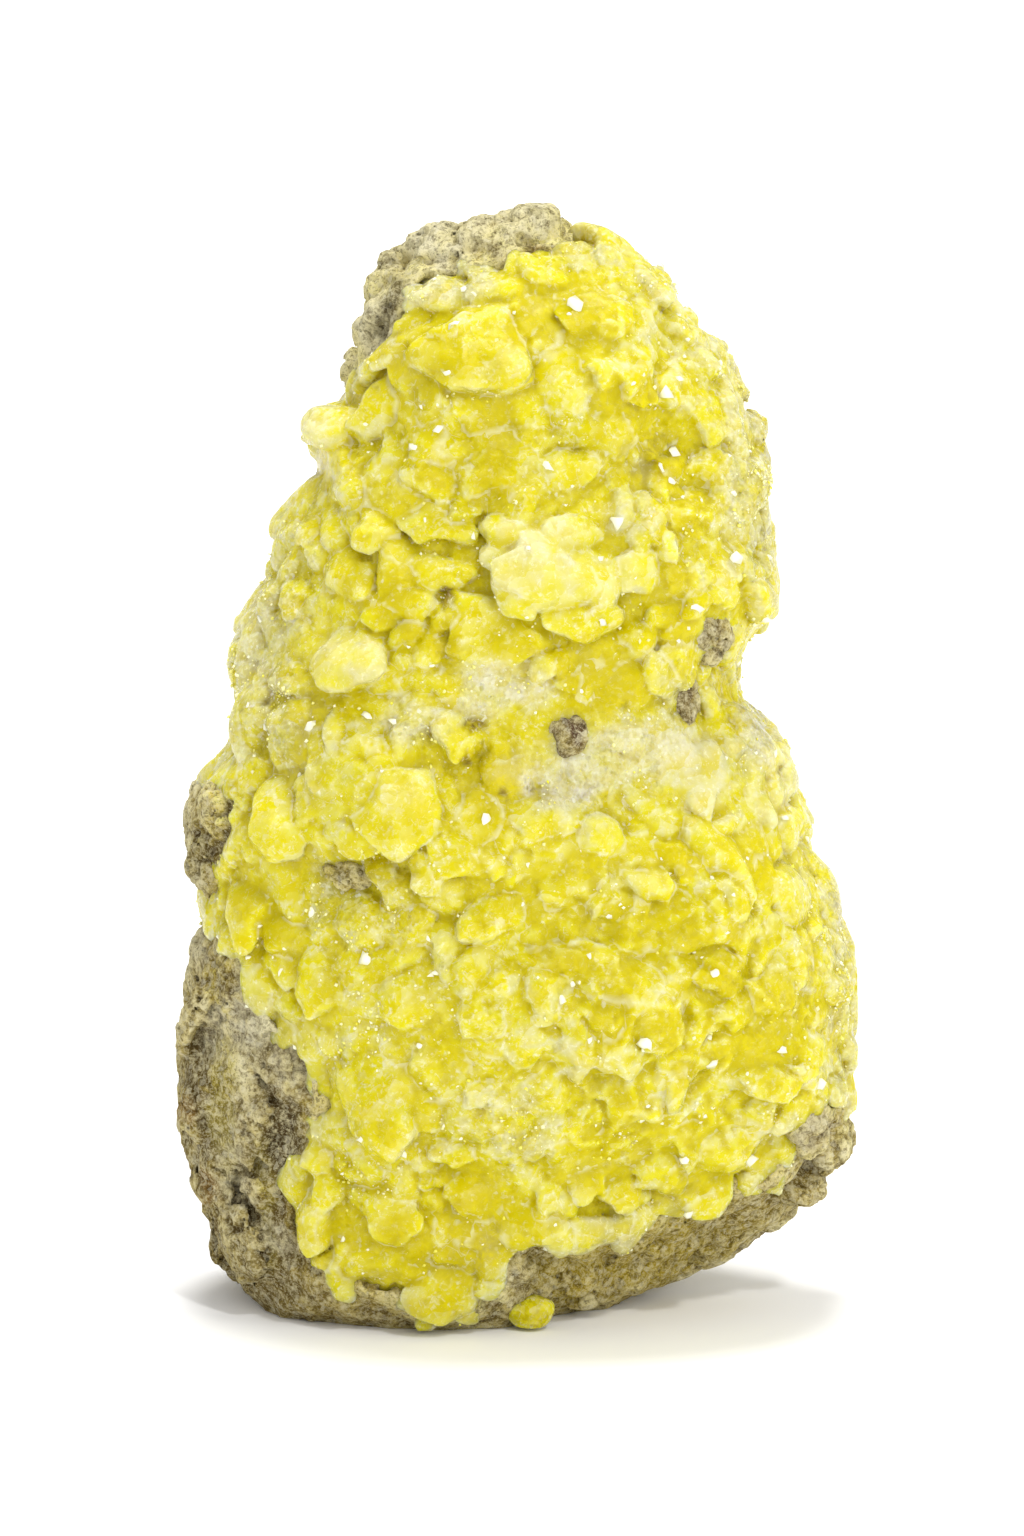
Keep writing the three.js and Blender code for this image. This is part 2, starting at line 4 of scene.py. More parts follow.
import bpy
import numpy as np
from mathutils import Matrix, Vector


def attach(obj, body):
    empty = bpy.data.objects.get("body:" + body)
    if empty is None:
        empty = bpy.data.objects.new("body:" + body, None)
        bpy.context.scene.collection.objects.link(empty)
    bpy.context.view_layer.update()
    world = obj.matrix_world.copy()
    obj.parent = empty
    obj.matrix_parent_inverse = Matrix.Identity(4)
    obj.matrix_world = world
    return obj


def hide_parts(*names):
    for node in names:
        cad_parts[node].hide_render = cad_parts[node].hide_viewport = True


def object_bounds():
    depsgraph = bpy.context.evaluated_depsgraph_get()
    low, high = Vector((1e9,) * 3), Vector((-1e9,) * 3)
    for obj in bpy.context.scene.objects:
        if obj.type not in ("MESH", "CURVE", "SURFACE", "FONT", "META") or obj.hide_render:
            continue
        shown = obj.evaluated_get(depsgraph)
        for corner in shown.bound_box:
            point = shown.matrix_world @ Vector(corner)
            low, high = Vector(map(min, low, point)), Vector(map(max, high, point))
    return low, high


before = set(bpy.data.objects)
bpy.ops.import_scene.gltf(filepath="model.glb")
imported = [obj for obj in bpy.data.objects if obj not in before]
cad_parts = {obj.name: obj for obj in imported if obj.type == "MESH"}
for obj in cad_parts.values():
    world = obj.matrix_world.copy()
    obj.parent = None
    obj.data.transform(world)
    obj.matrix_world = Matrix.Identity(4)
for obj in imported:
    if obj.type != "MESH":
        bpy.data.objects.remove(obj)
cad_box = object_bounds()

# The lump is drawn on a face plane that leans back: across, up and into, in millimetres. These sizes
# repeat those of the solids, so the fine surface lies where the solids are.
MM = 0.001
FACE_LEAN = math.radians(12)
CENTRE_ACROSS = -1
CENTRE_UP = 57
FRONT_DEPTH = 27
BACK_DEPTH = 25
ROUNDNESS = 2.5
TOP_TAPER = 0.68
TAPER_FROM = 45
TAPER_TO = 118
BODY_LEAN = 0.7
FOOT_INTO = -11.5
SHIFT_X = 0.21
SHIFT_Y = 7.6
FLOOR_LIFT = 0.4

CRUST_LEVEL = 1.5
SKIN_LEVEL = 1.9
CRUST_THICKNESS = 2.8
CRUST_EDGE = 2.6
CRUST_ROOT = 1.4
BARE_LEVEL = 0.7
RIGHT_WRAP = 8
LEFT_WRAP = 3
WRAP_WANDER = 2.5
LEDGE_RECESS = 5
STRETCH = (37, 60, -27)

# Outline of the lump, across and up
OUTLINE = [
    (-12.1, 115.5), (-9.2, 118), (-5.2, 119.2), (2.4, 120.2), (6.4, 117.4), (11.6, 116.3),
    (15.8, 112.6), (17.4, 109.5), (21.6, 105.8), (23.5, 102.6), (25.3, 97.4), (26.2, 94.7),
    (27.4, 83.2), (27.5, 79), (26.6, 76.2), (24.6, 73.4), (24.3, 68.4), (26.4, 66.4), (29, 63.2),
    (30.1, 59.5), (31.6, 54.7), (31.5, 51.6), (33.7, 47.4), (34.4, 43), (36, 38), (36.7, 33.7),
    (36.4, 27), (36.4, 20), (34.3, 16.8), (30.6, 13.2), (27.4, 10.2), (19.5, 5.5), (16, 2), (10, -4),
    (2, -10), (-8, -12.5), (-18, -11), (-26, -4), (-29.5, 4), (-31.7, 8.4), (-33.1, 13.7),
    (-34.5, 16.8), (-36.3, 24.5), (-35.9, 31.6), (-34.5, 39), (-33.1, 46.3), (-34.7, 52), (-34.2, 57),
    (-30.8, 62.6), (-30.3, 67.4), (-29.4, 73.2), (-27.8, 77.9), (-25.9, 82.6), (-24.2, 87.4),
    (-21.6, 92), (-21.5, 98.1), (-17.8, 100), (-16.8, 105.3), (-15.7, 109.5), (-14.4, 113.5),
]

# Border of the crust, across and up
CRUST_BORDER = [
    (-17.5, 100), (-13.5, 104), (-12.5, 108.5), (-10, 112.5), (-4.5, 113.5), (3, 114.5), (7.5, 116.5),
    (9, 130), (50, 120), (50, 28), (36, 25), (32, 24), (30, 20.5), (26, 16.5), (21, 15), (14, 11.5),
    (5, 10.5), (1.5, 12), (-1.5, 10.5), (-2.5, 7), (-3.5, 3), (-8, 0.5), (-11.5, 4), (-16, 5.5),
    (-21, 8.5), (-24.5, 13.5), (-22, 20.5), (-21, 22.5), (-21.5, 30), (-26.5, 34.5), (-29, 39.5),
    (-33, 46.5), (-29.5, 52), (-30.5, 58), (-31, 62.5), (-45, 66), (-45, 100),
]

# Larger crystals: across, up, half width, half height, rise, turn, then how milky (0 gold to 1 white)
# and how granular (0 smooth to 1 sugary) each one is
CRYSTALS = [
    # top and right shoulder
    (-4.3, 104, 5.6, 6.2, 2.4, 0, 0.45, 0.1), (-7.8, 110, 3.8, 2.3, 1.6, 0, 0.7, 0.3),
    (3.1, 112.4, 3, 1.9, 1.8, -10, 0.75, 0.2), (7.4, 108.3, 4.6, 4.2, 2, 0, 0.25, 0.2),
    (9.9, 114.9, 3.6, 1.9, 1.8, 10, 0.5, 0.3), (14.8, 111, 2.5, 3.3, 1.8, 0, 0.6, 0.8),
    (16.4, 106.3, 2.6, 2.3, 1.5, 0, 0.5, 0.7), (16.4, 99.9, 3.6, 4, 2.2, 0, 0.2, 0.2),
    (9.4, 101.7, 3, 1.6, 1.6, 0, 0.8, 0.3), (19.9, 97, 2.4, 3.4, 1.7, 0, 0.5, 0.4),
    (18.7, 107.2, 1.6, 1.8, 1.3, 0, 0.6, 0.7), (21.3, 104.5, 1.5, 1.7, 1.3, 0, 0.6, 0.8),
    (23.4, 100.3, 1.7, 1.9, 1.3, 0, 0.6, 0.8), (25, 96.2, 1.7, 1.9, 1.3, 0, 0.7, 0.9),
    (25.6, 91.4, 1.8, 2, 1.3, 0, 0.6, 0.8),
    # left shoulder
    (-19.6, 95.8, 2.8, 2.8, 2.6, 0, 0.75, 0.2), (-13.7, 97.5, 4.5, 3.3, 2.2, 0, 0.5, 0.2),
    (-15.2, 92.9, 2.2, 2.2, 1.8, 0, 0.3, 0.2), (-7.7, 86.1, 3.6, 2.9, 1.9, 0, 0.35, 0.2),
    (-14.3, 84.6, 2.8, 2.8, 1.8, 0, 0.35, 0.3), (-21.3, 84.4, 1.9, 1.8, 1.4, 0, 0.35, 0.3),
    (-17.6, 80.5, 3, 4.1, 1.9, 0, 0.4, 0.2), (-8.5, 80.5, 3.4, 2.5, 1.8, 0, 0.4, 0.2),
    (-10.9, 74.2, 1.9, 1.9, 1.6, 0, 0.8, 0.3), (-17.2, 71.4, 4.7, 4.4, 2.8, 0, 0.75, 0.2),
    (-22.5, 77.5, 2.2, 2.6, 1.5, 0, 0.6, 0.8), (-24.2, 70.3, 2.4, 3, 1.5, 0, 0.6, 0.8),
    # middle
    (4.9, 91.5, 3.4, 2.9, 1.9, 0, 0.6, 0.2), (-2.7, 74.5, 5.6, 3.9, 1.9, 0, 0.45, 0.1),
    (3, 81.2, 6.3, 5.2, 3.1, 0, 0.85, 0.1), (-1.2, 85.4, 2.7, 2.7, 2.4, 0, 0.8, 0.1),
    (12.2, 80.9, 2.8, 2.5, 2.6, 0, 0.85, 0.1), (6.6, 76.3, 4.8, 3.3, 2.5, 0, 0.6, 0.1),
    (13.1, 73.7, 2.4, 2.8, 2.1, 0, 0.5, 0.2), (11, 86.7, 2.1, 2.1, 2.3, 0, 0.85, 0.1),
    (16.1, 83.1, 2.1, 1.7, 1.8, 0, 0.8, 0.2), (19.4, 86.7, 3.8, 4.1, 1.8, 0, 0.2, 0.5),
    (24.8, 86, 2.1, 2.4, 1.4, 0, 0.7, 0.5), (24.4, 78.4, 3.2, 2.8, 2.2, 0, 0.55, 0.3),
    (26, 82.3, 1.5, 1.9, 1.3, 0, 0.6, 0.5), (2.5, 66.5, 4.6, 3.4, 1.8, 0, 0.95, 0.6),
    (12.6, 64.5, 4.6, 4, 1.9, 25, 0.9, 0.5),
    # middle right
    (21.3, 67.2, 2.7, 2.3, 1.8, 0, 0.9, 0.3), (19.9, 59.7, 3.4, 4.2, 2.5, 0, 0.9, 0.1),
    (27.4, 62.6, 2.3, 2.8, 1.6, 0, 0.6, 0.6), (28.1, 59, 2.5, 3.6, 1.8, 0, 0.8, 0.4),
    (28.3, 53.7, 2.7, 2.7, 1.9, 0, 0.55, 0.2), (15.7, 55.1, 4.1, 2.3, 1.7, 0, 0.4, 0.2),
    (8.5, 52.6, 2.8, 2.5, 1.8, 0, 0.5, 0.3), (13.8, 48.5, 3, 2.1, 1.8, 0, 0.7, 0.2),
    (9.8, 46.4, 2.4, 2.4, 1.8, 0, 0.6, 0.3), (22.7, 46.9, 3.3, 2.5, 1.8, 0, 0.5, 0.4),
    (28.4, 46.6, 4.7, 4.2, 2.2, 0, 0.45, 0.2), (21.8, 38.5, 3.6, 2.8, 1.7, 0, 0.4, 0.4),
    (27.2, 37.1, 3.8, 3.1, 1.9, 0, 0.5, 0.2), (33.8, 38, 2.6, 3.4, 2, 0, 0.5, 0.7),
    (34.4, 31.6, 2.6, 3.4, 2, 0, 0.5, 0.7), (33.6, 25.8, 2.4, 2.6, 1.8, 0, 0.5, 0.6),
    (31.4, 43.2, 2.4, 2.6, 2, 0, 0.6, 0.6),
    # middle left
    (-24.3, 54.3, 5.2, 3.4, 3.2, -59, 0.55, 0.05), (-11.8, 56.1, 4.5, 4.8, 2.8, 0, 0.75, 0.1),
    (-16.4, 53.4, 3.3, 2.3, 1.8, 0, 0.5, 0.2), (-27.1, 45.1, 4.1, 4.7, 2.4, 0, 0.5, 0.3),
    (-9.1, 50.2, 2.1, 2.3, 1.9, 0, 0.5, 0.1), (-14.5, 43.8, 4.8, 3.3, 2, 0, 0.6, 0.6),
    (-20.2, 37.3, 3.1, 4.3, 2.3, 12, 0.5, 0.2), (-2.4, 45.9, 3.8, 4.7, 2, 0, 0.35, 0.3),
    (-22.5, 63.2, 4.6, 4.4, 1.8, 0, 0.4, 0.6), (-5.6, 63.2, 3.4, 3, 1.7, 0, 0.85, 0.4),
    # lower middle
    (-1, 43.2, 4.1, 2.8, 1.7, 0, 0.6, 0.8), (4.2, 36.5, 3.3, 3, 2.6, 0, 0.55, 0.05),
    (-11.5, 36, 3.8, 3.8, 1.9, 0, 0.55, 0.3), (-8.9, 30.3, 2.7, 3, 1.8, 0, 0.5, 0.3),
    (-3.5, 34.3, 3, 2.8, 1.9, 0, 0.6, 0.3), (-15, 26.4, 6.4, 4.9, 2.9, -45, 0.6, 0.15),
    (14.5, 34, 3.8, 3.4, 1.8, 0, 0.4, 0.4), (12, 26.5, 4.2, 3.6, 1.8, 0, 0.35, 0.4),
    (27, 28.6, 4.2, 3.8, 1.9, 0, 0.4, 0.4), (3.5, 27.5, 3.6, 4, 1.7, 0, 0.4, 0.4),
    # ledge and foot
    (-13.6, 13.8, 3.9, 4.9, 2.3, 0, 0.55, 0.6), (-21, 12.8, 3, 3.8, 2, 0, 0.4, 0.2),
    (-19.5, 19.2, 2.8, 2.8, 1.9, 0, 0.35, 0.2), (-3.7, 15.4, 3.3, 4.5, 2.2, 0, 0.3, 0.2),
    (-6.2, 20.7, 2.8, 2.5, 1.8, 0, 0.6, 0.6), (-14.2, 7.8, 4.1, 2.2, 1.9, 0, 0.45, 0.2),
    (-7.5, 5.4, 4, 3.9, 2.4, 0, 0.4, 0.1), (7.9, 17.4, 2.5, 2.8, 2, 0, 0.35, 0.2),
    (11.4, 15.9, 3, 2.8, 2.1, 0, 0.55, 0.2), (15.6, 17.6, 3.8, 3, 2.3, 0, 0.5, 0.2),
    (22.2, 20.9, 3.8, 2.9, 2.2, 0, 0.45, 0.2), (4, 15.2, 2.4, 2.6, 1.9, 0, 0.5, 0.2),
]

# Smaller crystals that are strewn between the larger ones
SCATTER_COUNT = 40
SCATTER_TRIES = 6000
SCATTER_RADIUS = (1.4, 2.4)
SCATTER_SPACING = 0.8
SCATTER_COVER = 1.6

# Bits of rock that show through the crust: across, up, half width, half height
ROCK_BITS = [
    (5.6, 63.5, 2.2, 2.2), (12.8, 91.3, 1.4, 1.4), (17.7, 67.2, 1.7, 3), (20.8, 74.2, 2.4, 3.2),
    (-17.2, 49.2, 3.2, 1.7), (31.2, 21.6, 2, 2.8), (-3.6, 65.4, 1.2, 1.2),
]

# Each bit is a few lumps grown together: across and up from its middle and size, as shares of its own
BIT_PARTS = [(-0.35, 0.3, 0.7), (0.3, 0.45, 0.55), (0.1, -0.35, 0.75), (0.5, -0.1, 0.5)]

# Lumps of the bare rock. The last is on the fine surface alone.
ROCK_LUMPS = [
    (3.5, 8.4, 3.2, 3), (7, 6.6, 3, 3.2), (12.4, 5.8, 3.4, 3), (18, 8.6, 3.4, 2.6),
    (24, 12.2, 3.2, 2.4), (7.6, 2.6, 2.6, 1.9), (31, 15, 3, 2.2), (34.4, 20, 2.4, 3.4),
    (-34.2, 23.8, 2.4, 3.6), (-32, 15.8, 2.2, 2.6), (-24.5, 28.5, 2.8, 4), (-31.5, 56.5, 3.2, 3.6),
    (-17, 102.2, 2.4, 2.6), (-14.8, 110.5, 2.6, 4), (-9.2, 116, 3.2, 2.6), (-3, 117.2, 4, 2.4),
    (2.4, 118.4, 3, 2.2), (-33, 50, 2.6, 4.4),
]

# Swells and dips of the lump: across, up, radius, height
SWELLS = [
    (-20, 56, 9, 2.4), (3, 80, 9, 2.2), (-4, 104, 8, 1.2), (-17, 48.5, 5, -2.6), (10, 66, 10, -2.6),
    (0, 28, 20, 2), (16, 94, 5, -1.8), (24, 71, 7, -2), (26, 46, 9, 1), (-12, 90, 6, -1),
]

# Broken flats of the lump: the way each one faces and how far it is from the middle
BREAKS = [
    ((0.12, 0.1, 1), 21.5), ((-0.72, 0.05, 0.62), 31), ((0.6, -0.05, 0.8), 29),
    ((-0.1, 0.62, 0.7), 47), ((0.15, -0.55, 0.75), 37), ((-0.6, -0.05, -0.8), 31),
]
BREAK_SHARPNESS = 20

# The crystal at the foot, as in the list of larger ones
FOOT_CRYSTAL = (1.7, 3, 2.4, 1.9, 2, 0)
FOOT_CRYSTAL_INSET = 3.5

# Grid on which the fine surfaces are worked out, in millimetres
GRID_LOW = (-39.0, -6.0, -38.0)
GRID_HIGH = (39.0, 122.5, 34.0)
COARSE_STEP = 1.0
FINE_STEP = 0.3
MOST_TRIANGLES = 190000
OVERLAP = 0.8
FOOT_UNDERCUT = 1.8
FOOT_UNDERCUT_HEIGHT = 4

# Along the crust's border the fine rock surface dips less than the solid, and it loses bits that are
# too thin to hold, all in millimetres
BORDER_DIP = 1
BORDER_WIDTH = 3.5
THIN_BITS = 0.35

# Lumps of rock: how deep they sit, how far bits stand out of the crust, and how softly they join
LUMP_INSET = 0.8
BIT_LIFT = 0.6
LUMP_BLEND = 0.8

# Filling crystals between the ones above, and grains on all of them
FILL_RADIUS = (1.9, 5)
FILL_SPACING = 0.5
FILL_COVER = 0.3
GRAIN_COUNT = 3000
GRAIN_RADIUS = (0.07, 0.28)
CHIP_AND_GLINT_COUNT = 170
CHIP_AND_GLINT_RADIUS = (0.2, 0.5)
CHIP_AND_GLINT_UNEVENNESS = 0.24

# Crystals that only the fine surface has, as in the list of larger ones
SMALL_CRYSTALS = [
    (-17.4, 95.4, 4.8, 3.8, 3.2, 0, 0.7, 0), (8.2, 80.2, 3.6, 3.2, 2.6, 0, 0.85, 0.3),
    (0, 78.4, 3.2, 2.4, 2.5, 0, 0.8, 0.2), (5.6, 84.6, 3, 2.2, 2.5, 0, 0.85, 0.3),
    (-1.6, 82.4, 2.6, 2.4, 2.7, 0, 0.9, 0.2), (5, 81, 2.6, 2.2, 3.3, 0, 0.9, 0.3),
    (-6.5, 105.6, 2.6, 2.2, 2.5, 0, 0.5, 0.2), (-1.4, 101.4, 3, 2.2, 2.3, 0, 0.4, 0.1),
]

# Form of all crystals: depth as a share of size, how far they rise, the room that they take as a share
# of size, softness of the joints in millimetres, number of flats, and the degrees that they tip towards
# an edge that stands proud. FAR stands for a place with no crystal near.
CRYSTAL_DEPTH = 0.5
FRONT_RISE = 0.78
SKIN_LIFT = 0.85
FILL_LIFT = 0.2
OUTLINE_WAVES = ((2, 0.12), (3, 0.12), (5, 0.06), (8, 0.03))
NAMED_REACH = 1.8
STREWN_REACH = 0.85
FAR = 9
BACK_SINK = 0.8
RIDGE_WIDTH = 0.2
BOX_ROOM = 0.08
CRYSTAL_BLEND = 0.26
FLAT_COUNT = 11
CRYSTAL_TIP = (8, 26)
PROUD_WAY = 235

# Where the crust is broken into angular hollow cells: across, up, half width, half height
ANGULAR_PLACES = [(24, 32, 14, 15), (12, 38, 12, 12), (16, 106, 8, 8), (20, 88, 7, 8), (6, 26, 9, 8)]

# White chips, partly real white flakes and partly painted glints where light catches facets: across, up and
# radius
CHIPS_AND_GLINTS = [
    (6.4, 109.4, 0.9), (15.9, 100.2, 0.6), (14.3, 101.5, 0.4), (2.8, 91.8, 1), (-11.2, 93.8, 0.9),
    (16.7, 93.8, 0.7), (14.8, 91.8, 0.6), (16.8, 90.5, 0.9), (10.2, 86.2, 0.9), (10.7, 71.7, 0.8),
    (18.7, 77.5, 1), (21.3, 38.9, 0.8), (13.7, 31.1, 0.9), (21.3, 28.7, 0.8), (28.6, 30.1, 0.9),
    (32.6, 26.3, 1), (25.3, 18.6, 0.9), (-2.4, 54.2, 0.9), (-6, 107.2, 0.7), (-13, 65.5, 0.7),
    (-15.5, 66.3, 0.6), (-16.3, 40.3, 0.7), (-22, 45.5, 0.7), (-9.6, 39, 0.7), (5.4, 35.4, 0.6),
    (-8.2, 96.2, 0.6), (-16, 95.8, 0.5), (12.6, 101, 0.4), (23.6, 82.4, 0.8), (-21.6, 65, 0.6),
]

# Places where the crust is whiter (or more golden, below 0), and how granular: across, up, half width,
# half height, white, grain
CRUST_PATCHES = [
    (-1.3, 68.9, 6, 3.2, 0.6, 1), (6, 59.5, 6, 3.6, 0.6, 1), (14, 62, 7, 4, 0.5, 0.9),
    (-11, 65, 4.5, 2.4, 0.4, 0.9), (20, 60, 3.4, 5, 0.4, 0.1), (26, 65, 3.5, 4.5, 0.4, 0.9),
    (2.3, 107.8, 3, 3.4, -0.7, 0), (9, 106.3, 4, 4, -0.4, 0), (13, 100, 4, 4, -0.4, 0.1),
    (-1.7, 95.3, 2, 4, -0.6, 0.3), (-7.9, 90.4, 3, 1.4, -0.6, 0.3), (-2.4, 89.3, 2.4, 3.6, -0.6, 0.2),
    (-2.7, 59.3, 3.4, 3.4, -0.8, 0.4), (16.5, 76.3, 3, 5, -0.5, 0), (6.6, 71, 7, 2.4, -0.5, 0.3),
    (13, 69, 4, 2, -0.5, 0.1), (19.4, 43.8, 6, 3, -0.6, 0.2), (15.5, 93.5, 3.4, 2.4, -0.8, 0.6),
    (-7.9, 73, 2, 3, -0.6, 0.6), (18, 88, 4, 4, -0.6, 0.4), (-12, 77, 3, 4, -0.4, 0.2),
    (-27, 66, 4, 9, 0.2, 0.9), (-24, 80, 4, 8, 0.2, 0.9), (25, 92, 4, 12, 0.25, 0.9),
    (33, 40, 4, 14, 0.1, 0.9), (24, 106, 5, 8, 0.2, 0.8), (-9, 111, 7, 2.6, 0.4, 0.9),
    (-16, 46, 7, 5, 0.15, 1), (-2, 22, 7, 5, 0.15, 0.9), (16, 20, 12, 5, -0.3, 0.3),
    (14, 33, 12, 9, -0.35, 0.3), (25, 37, 9, 10, -0.2, 0.3), (4.8, 41, 4, 3, -0.45, 0.2),
    (4, 49, 7, 5, -0.3, 0.2), (-12, 9, 9, 6, -0.15, 0.3), (-5, 13, 4, 7, -0.3, 0.2),
    (-26, 44, 4, 6, -0.2, 0.1), (-9, 103, 5, 5, -0.2, 0.1), (5, 81, 9, 6, 0.22, 0.1),
    (-17, 72, 5, 5, 0.3, 0.1), (-20, 96, 3, 3, 0.3, 0.1), (20, 51, 8, 3, -0.3, 0.2),
    (0, 35, 8, 6, 0, 0.5), (14, 44, 6, 4, -0.35, 0.2), (-14, 56, 4, 4, -0.25, 0.1),
    (30, 30, 5, 8, -0.05, 0.3),
]

# Colours as three numbers from 0 to 255, the rows of them from low to high
# Near white for the chips and the whitest grains: partly their own white, partly painted glints.
CHIP_AND_GLINT_SHADE = (252, 250, 222)
SULFUR_SHADES = [(218, 201, 0), (232, 218, 0), (238, 227, 0), (236, 228, 56), (230, 224, 158)]
ROCK_SHADES = [(98, 80, 38), (160, 142, 80), (214, 198, 134), (246, 237, 194)]

# Stains on the crust, towards a colour: across, up, half width, half height, how strong, colour.
# Stains wider than BROKEN_WIDTH are broken up.
BROKEN_WIDTH = 2
BROWN = (112, 84, 44)
GREY = (168, 156, 128)
OLIVE = (150, 132, 28)
TAN = (178, 164, 112)
WHITE = (246, 240, 212)
CRUST_STAINS = [
    (-1.3, 68.9, 5.6, 3, 0.75, WHITE), (4.6, 59.3, 5.8, 3.2, 0.95, WHITE), (14, 62.4, 6, 3, 0.6, WHITE),
    (-11, 65.4, 4, 2, 0.6, WHITE), (20, 59.7, 3, 4.2, 0.5, WHITE), (26, 65, 3, 3.6, 0.5, WHITE),
    (3, 81.5, 5, 4, 0.3, WHITE), (-18, 72.5, 3, 3, 0.3, WHITE), (11, 86.5, 2, 2, 0.4, WHITE),
    (-12, 58, 3, 3, 0.2, WHITE), (-27, 72, 3, 6, 0.4, WHITE), (24, 90, 3, 8, 0.3, WHITE),
    (-8, 110, 5, 2, 0.4, WHITE), (28, 60, 3, 6, 0.35, WHITE), (28, 86, 3, 9, 0.45, TAN),
    (25, 102, 2.4, 6, 0.4, TAN), (28.6, 93, 1.6, 2.4, 0.4, BROWN), (26.8, 92, 1.8, 10, 0.4, TAN),
    (9, 46.5, 4.5, 3.4, 0.22, OLIVE), (30, 72, 2.6, 5, 0.4, TAN), (35, 48, 2.4, 6, 0.4, TAN),
    (-7.2, 78.8, 1.1, 1.2, 1, BROWN), (-3.6, 65.4, 1.4, 1.2, 1, BROWN),
    (-4.5, 60.5, 0.7, 0.7, 0.8, BROWN), (-1.5, 57.6, 0.6, 0.6, 0.8, BROWN),
    (5.4, 63.6, 2.6, 2.4, 0.6, GREY), (17.5, 67.4, 2.4, 3.4, 0.5, GREY), (13, 91.4, 1.8, 1.4, 0.6, TAN),
    (15.5, 93.6, 2.8, 1.2, 0.6, OLIVE), (-17.2, 49.2, 4, 2.4, 0.6, OLIVE),
    (-7.9, 73.4, 1.4, 2.2, 0.5, OLIVE), (4.4, 58.6, 2.2, 1.6, 0.4, GREY),
    (-17.5, 48.6, 4.5, 3, 0.5, (140, 118, 46)), (25, 96, 2.2, 3.5, 0.4, TAN),
    (26, 65.5, 3, 4, 0.4, GREY), (35, 36, 2.4, 12, 0.4, TAN), (-2.5, 62, 0.9, 1.4, 0.5, OLIVE),
    (-9, 101, 3, 3, 0.1, TAN), (12.4, 67, 0.6, 0.6, 0.4, BROWN), (16, 72, 0.7, 1.8, 0.3, OLIVE),
    (-2, 22, 4, 3, 0.12, TAN), (-22, 62, 3, 8, 0.3, TAN), (-27, 74, 3, 8, 0.3, TAN),
    (-25, 70, 4, 12, 0.3, GREY), (-10, 48.4, 3, 2, 0.3, OLIVE), (1.6, 25.8, 1.2, 1, 0.5, BROWN),
    (23, 82, 0.9, 2, 0.4, BROWN),
]

# Marks on the bare rock, as above
DARK = (70, 55, 33)
PALE = (206, 198, 170)
YELLOW = (190, 176, 74)
NODULE = (156, 122, 62)
ROCK_STAINS = [
    (-0.5, 8, 3.4, 3, 0.6, PALE), (4.6, 4.8, 2.8, 1.8, 0.7, (206, 184, 40)),
    (0.4, 5.2, 1.2, 0.8, 0.6, DARK), (-28.5, 27, 2, 12, 0.25, PALE), (-23.5, 34, 1.6, 8, 0.35, PALE),
    (-20, 3, 6, 2, 0.4, (172, 152, 66)), (-24, 22, 1.9, 3.6, 1, DARK), (-22, 18.5, 1.6, 2, 0.6, DARK),
    (-27, 31, 1.6, 2, 0.5, DARK), (-29.4, 55.5, 1.8, 4, 0.6, DARK), (-27, 8, 2, 3, 0.5, DARK),
    (-34.6, 23.7, 1.8, 1.6, 0.8, NODULE), (-32.8, 15.8, 1.2, 1.8, 0.8, NODULE),
    (-30.5, 25, 1.4, 9, 0.5, YELLOW), (-26, 14, 1.2, 8, 0.4, YELLOW), (-24, 29, 3, 4, 0.5, PALE),
    (-27, 38, 3, 5, 0.4, PALE), (-4, 116, 5, 2.4, 0.4, PALE), (4, 118, 2.4, 2, 0.5, YELLOW),
    (0, 113.6, 4, 1.4, 0.6, (134, 112, 82)), (-12.8, 107, 1.2, 4, 0.6, DARK),
    (-13, 114, 1.4, 1.4, 0.4, DARK), (8, 9, 8, 2, 0.4, YELLOW), (26, 15, 4, 1.4, 0.5, DARK),
    (3, 6, 2, 2, 0.5, DARK), (31.4, 21.4, 2.2, 3, 0.6, (190, 182, 170)), (6, 1.4, 3, 1.2, 0.4, DARK),
    (14, 8, 8, 3, 0.3, (150, 132, 60)), (5.4, 63.6, 3.4, 3.4, 1, (94, 68, 56)),
    (17.7, 67.2, 2.6, 4.2, 1, (104, 78, 62)), (16, 9, 14, 5.6, 0.85, (188, 166, 40)),
    (20.8, 74.2, 2.8, 3.6, 0.6, (130, 104, 74)), (17.7, 67.2, 1.8, 3, 0.7, (112, 92, 66)),
    (20.6, 74.2, 2.4, 3, 0.5, (150, 140, 110)), (-17.2, 49.2, 3, 1.6, 0.7, (104, 88, 34)),
    (12.8, 91.3, 1.5, 1.4, 0.6, (150, 124, 70)), (12, 8, 12, 6, 0.7, (190, 166, 44)),
    (27, 14, 8, 5, 0.5, (186, 162, 56)), (-20, 4, 12, 6, 0.35, (170, 146, 70)),
    (-7.6, 115, 3.4, 3, 0.8, WHITE), (1.8, 117.8, 3, 2, 0.7, WHITE), (-14.7, 106, 1.6, 4, 0.6, WHITE),
    (-13, 109, 1.4, 3, 0.6, DARK), (0.6, 114.4, 2, 1, 0.6, NODULE), (-31, 33, 2.6, 4, 0.6, WHITE),
    (-27, 33, 3, 2.4, 0.7, WHITE), (-34, 44, 1.6, 5, 0.5, WHITE), (-25, 11, 2.4, 2, 0.5, WHITE),
    (-30, 17, 2, 4, 0.4, WHITE), (-33.5, 50, 2, 5, 0.4, DARK),
]


def linear(shade):
    """A colour of three numbers from 0 to 255 as light."""
    part = np.array(shade) / 255
    return np.where(part <= 0.04045, part / 12.92, ((part + 0.055) / 1.055) ** 2.4)


def make_random(seed):
    """Even random numbers from 0 to 1, as the solids' own script draws them."""
    state = seed
    while True:
        state = (state * 1664525 + 1013904223) % 4294967296
        yield state / 4294967296


def smooth_step(low, high, value):
    t = np.clip((value - low) / (high - low), 0, 1)
    return t * t * (3 - 2 * t)


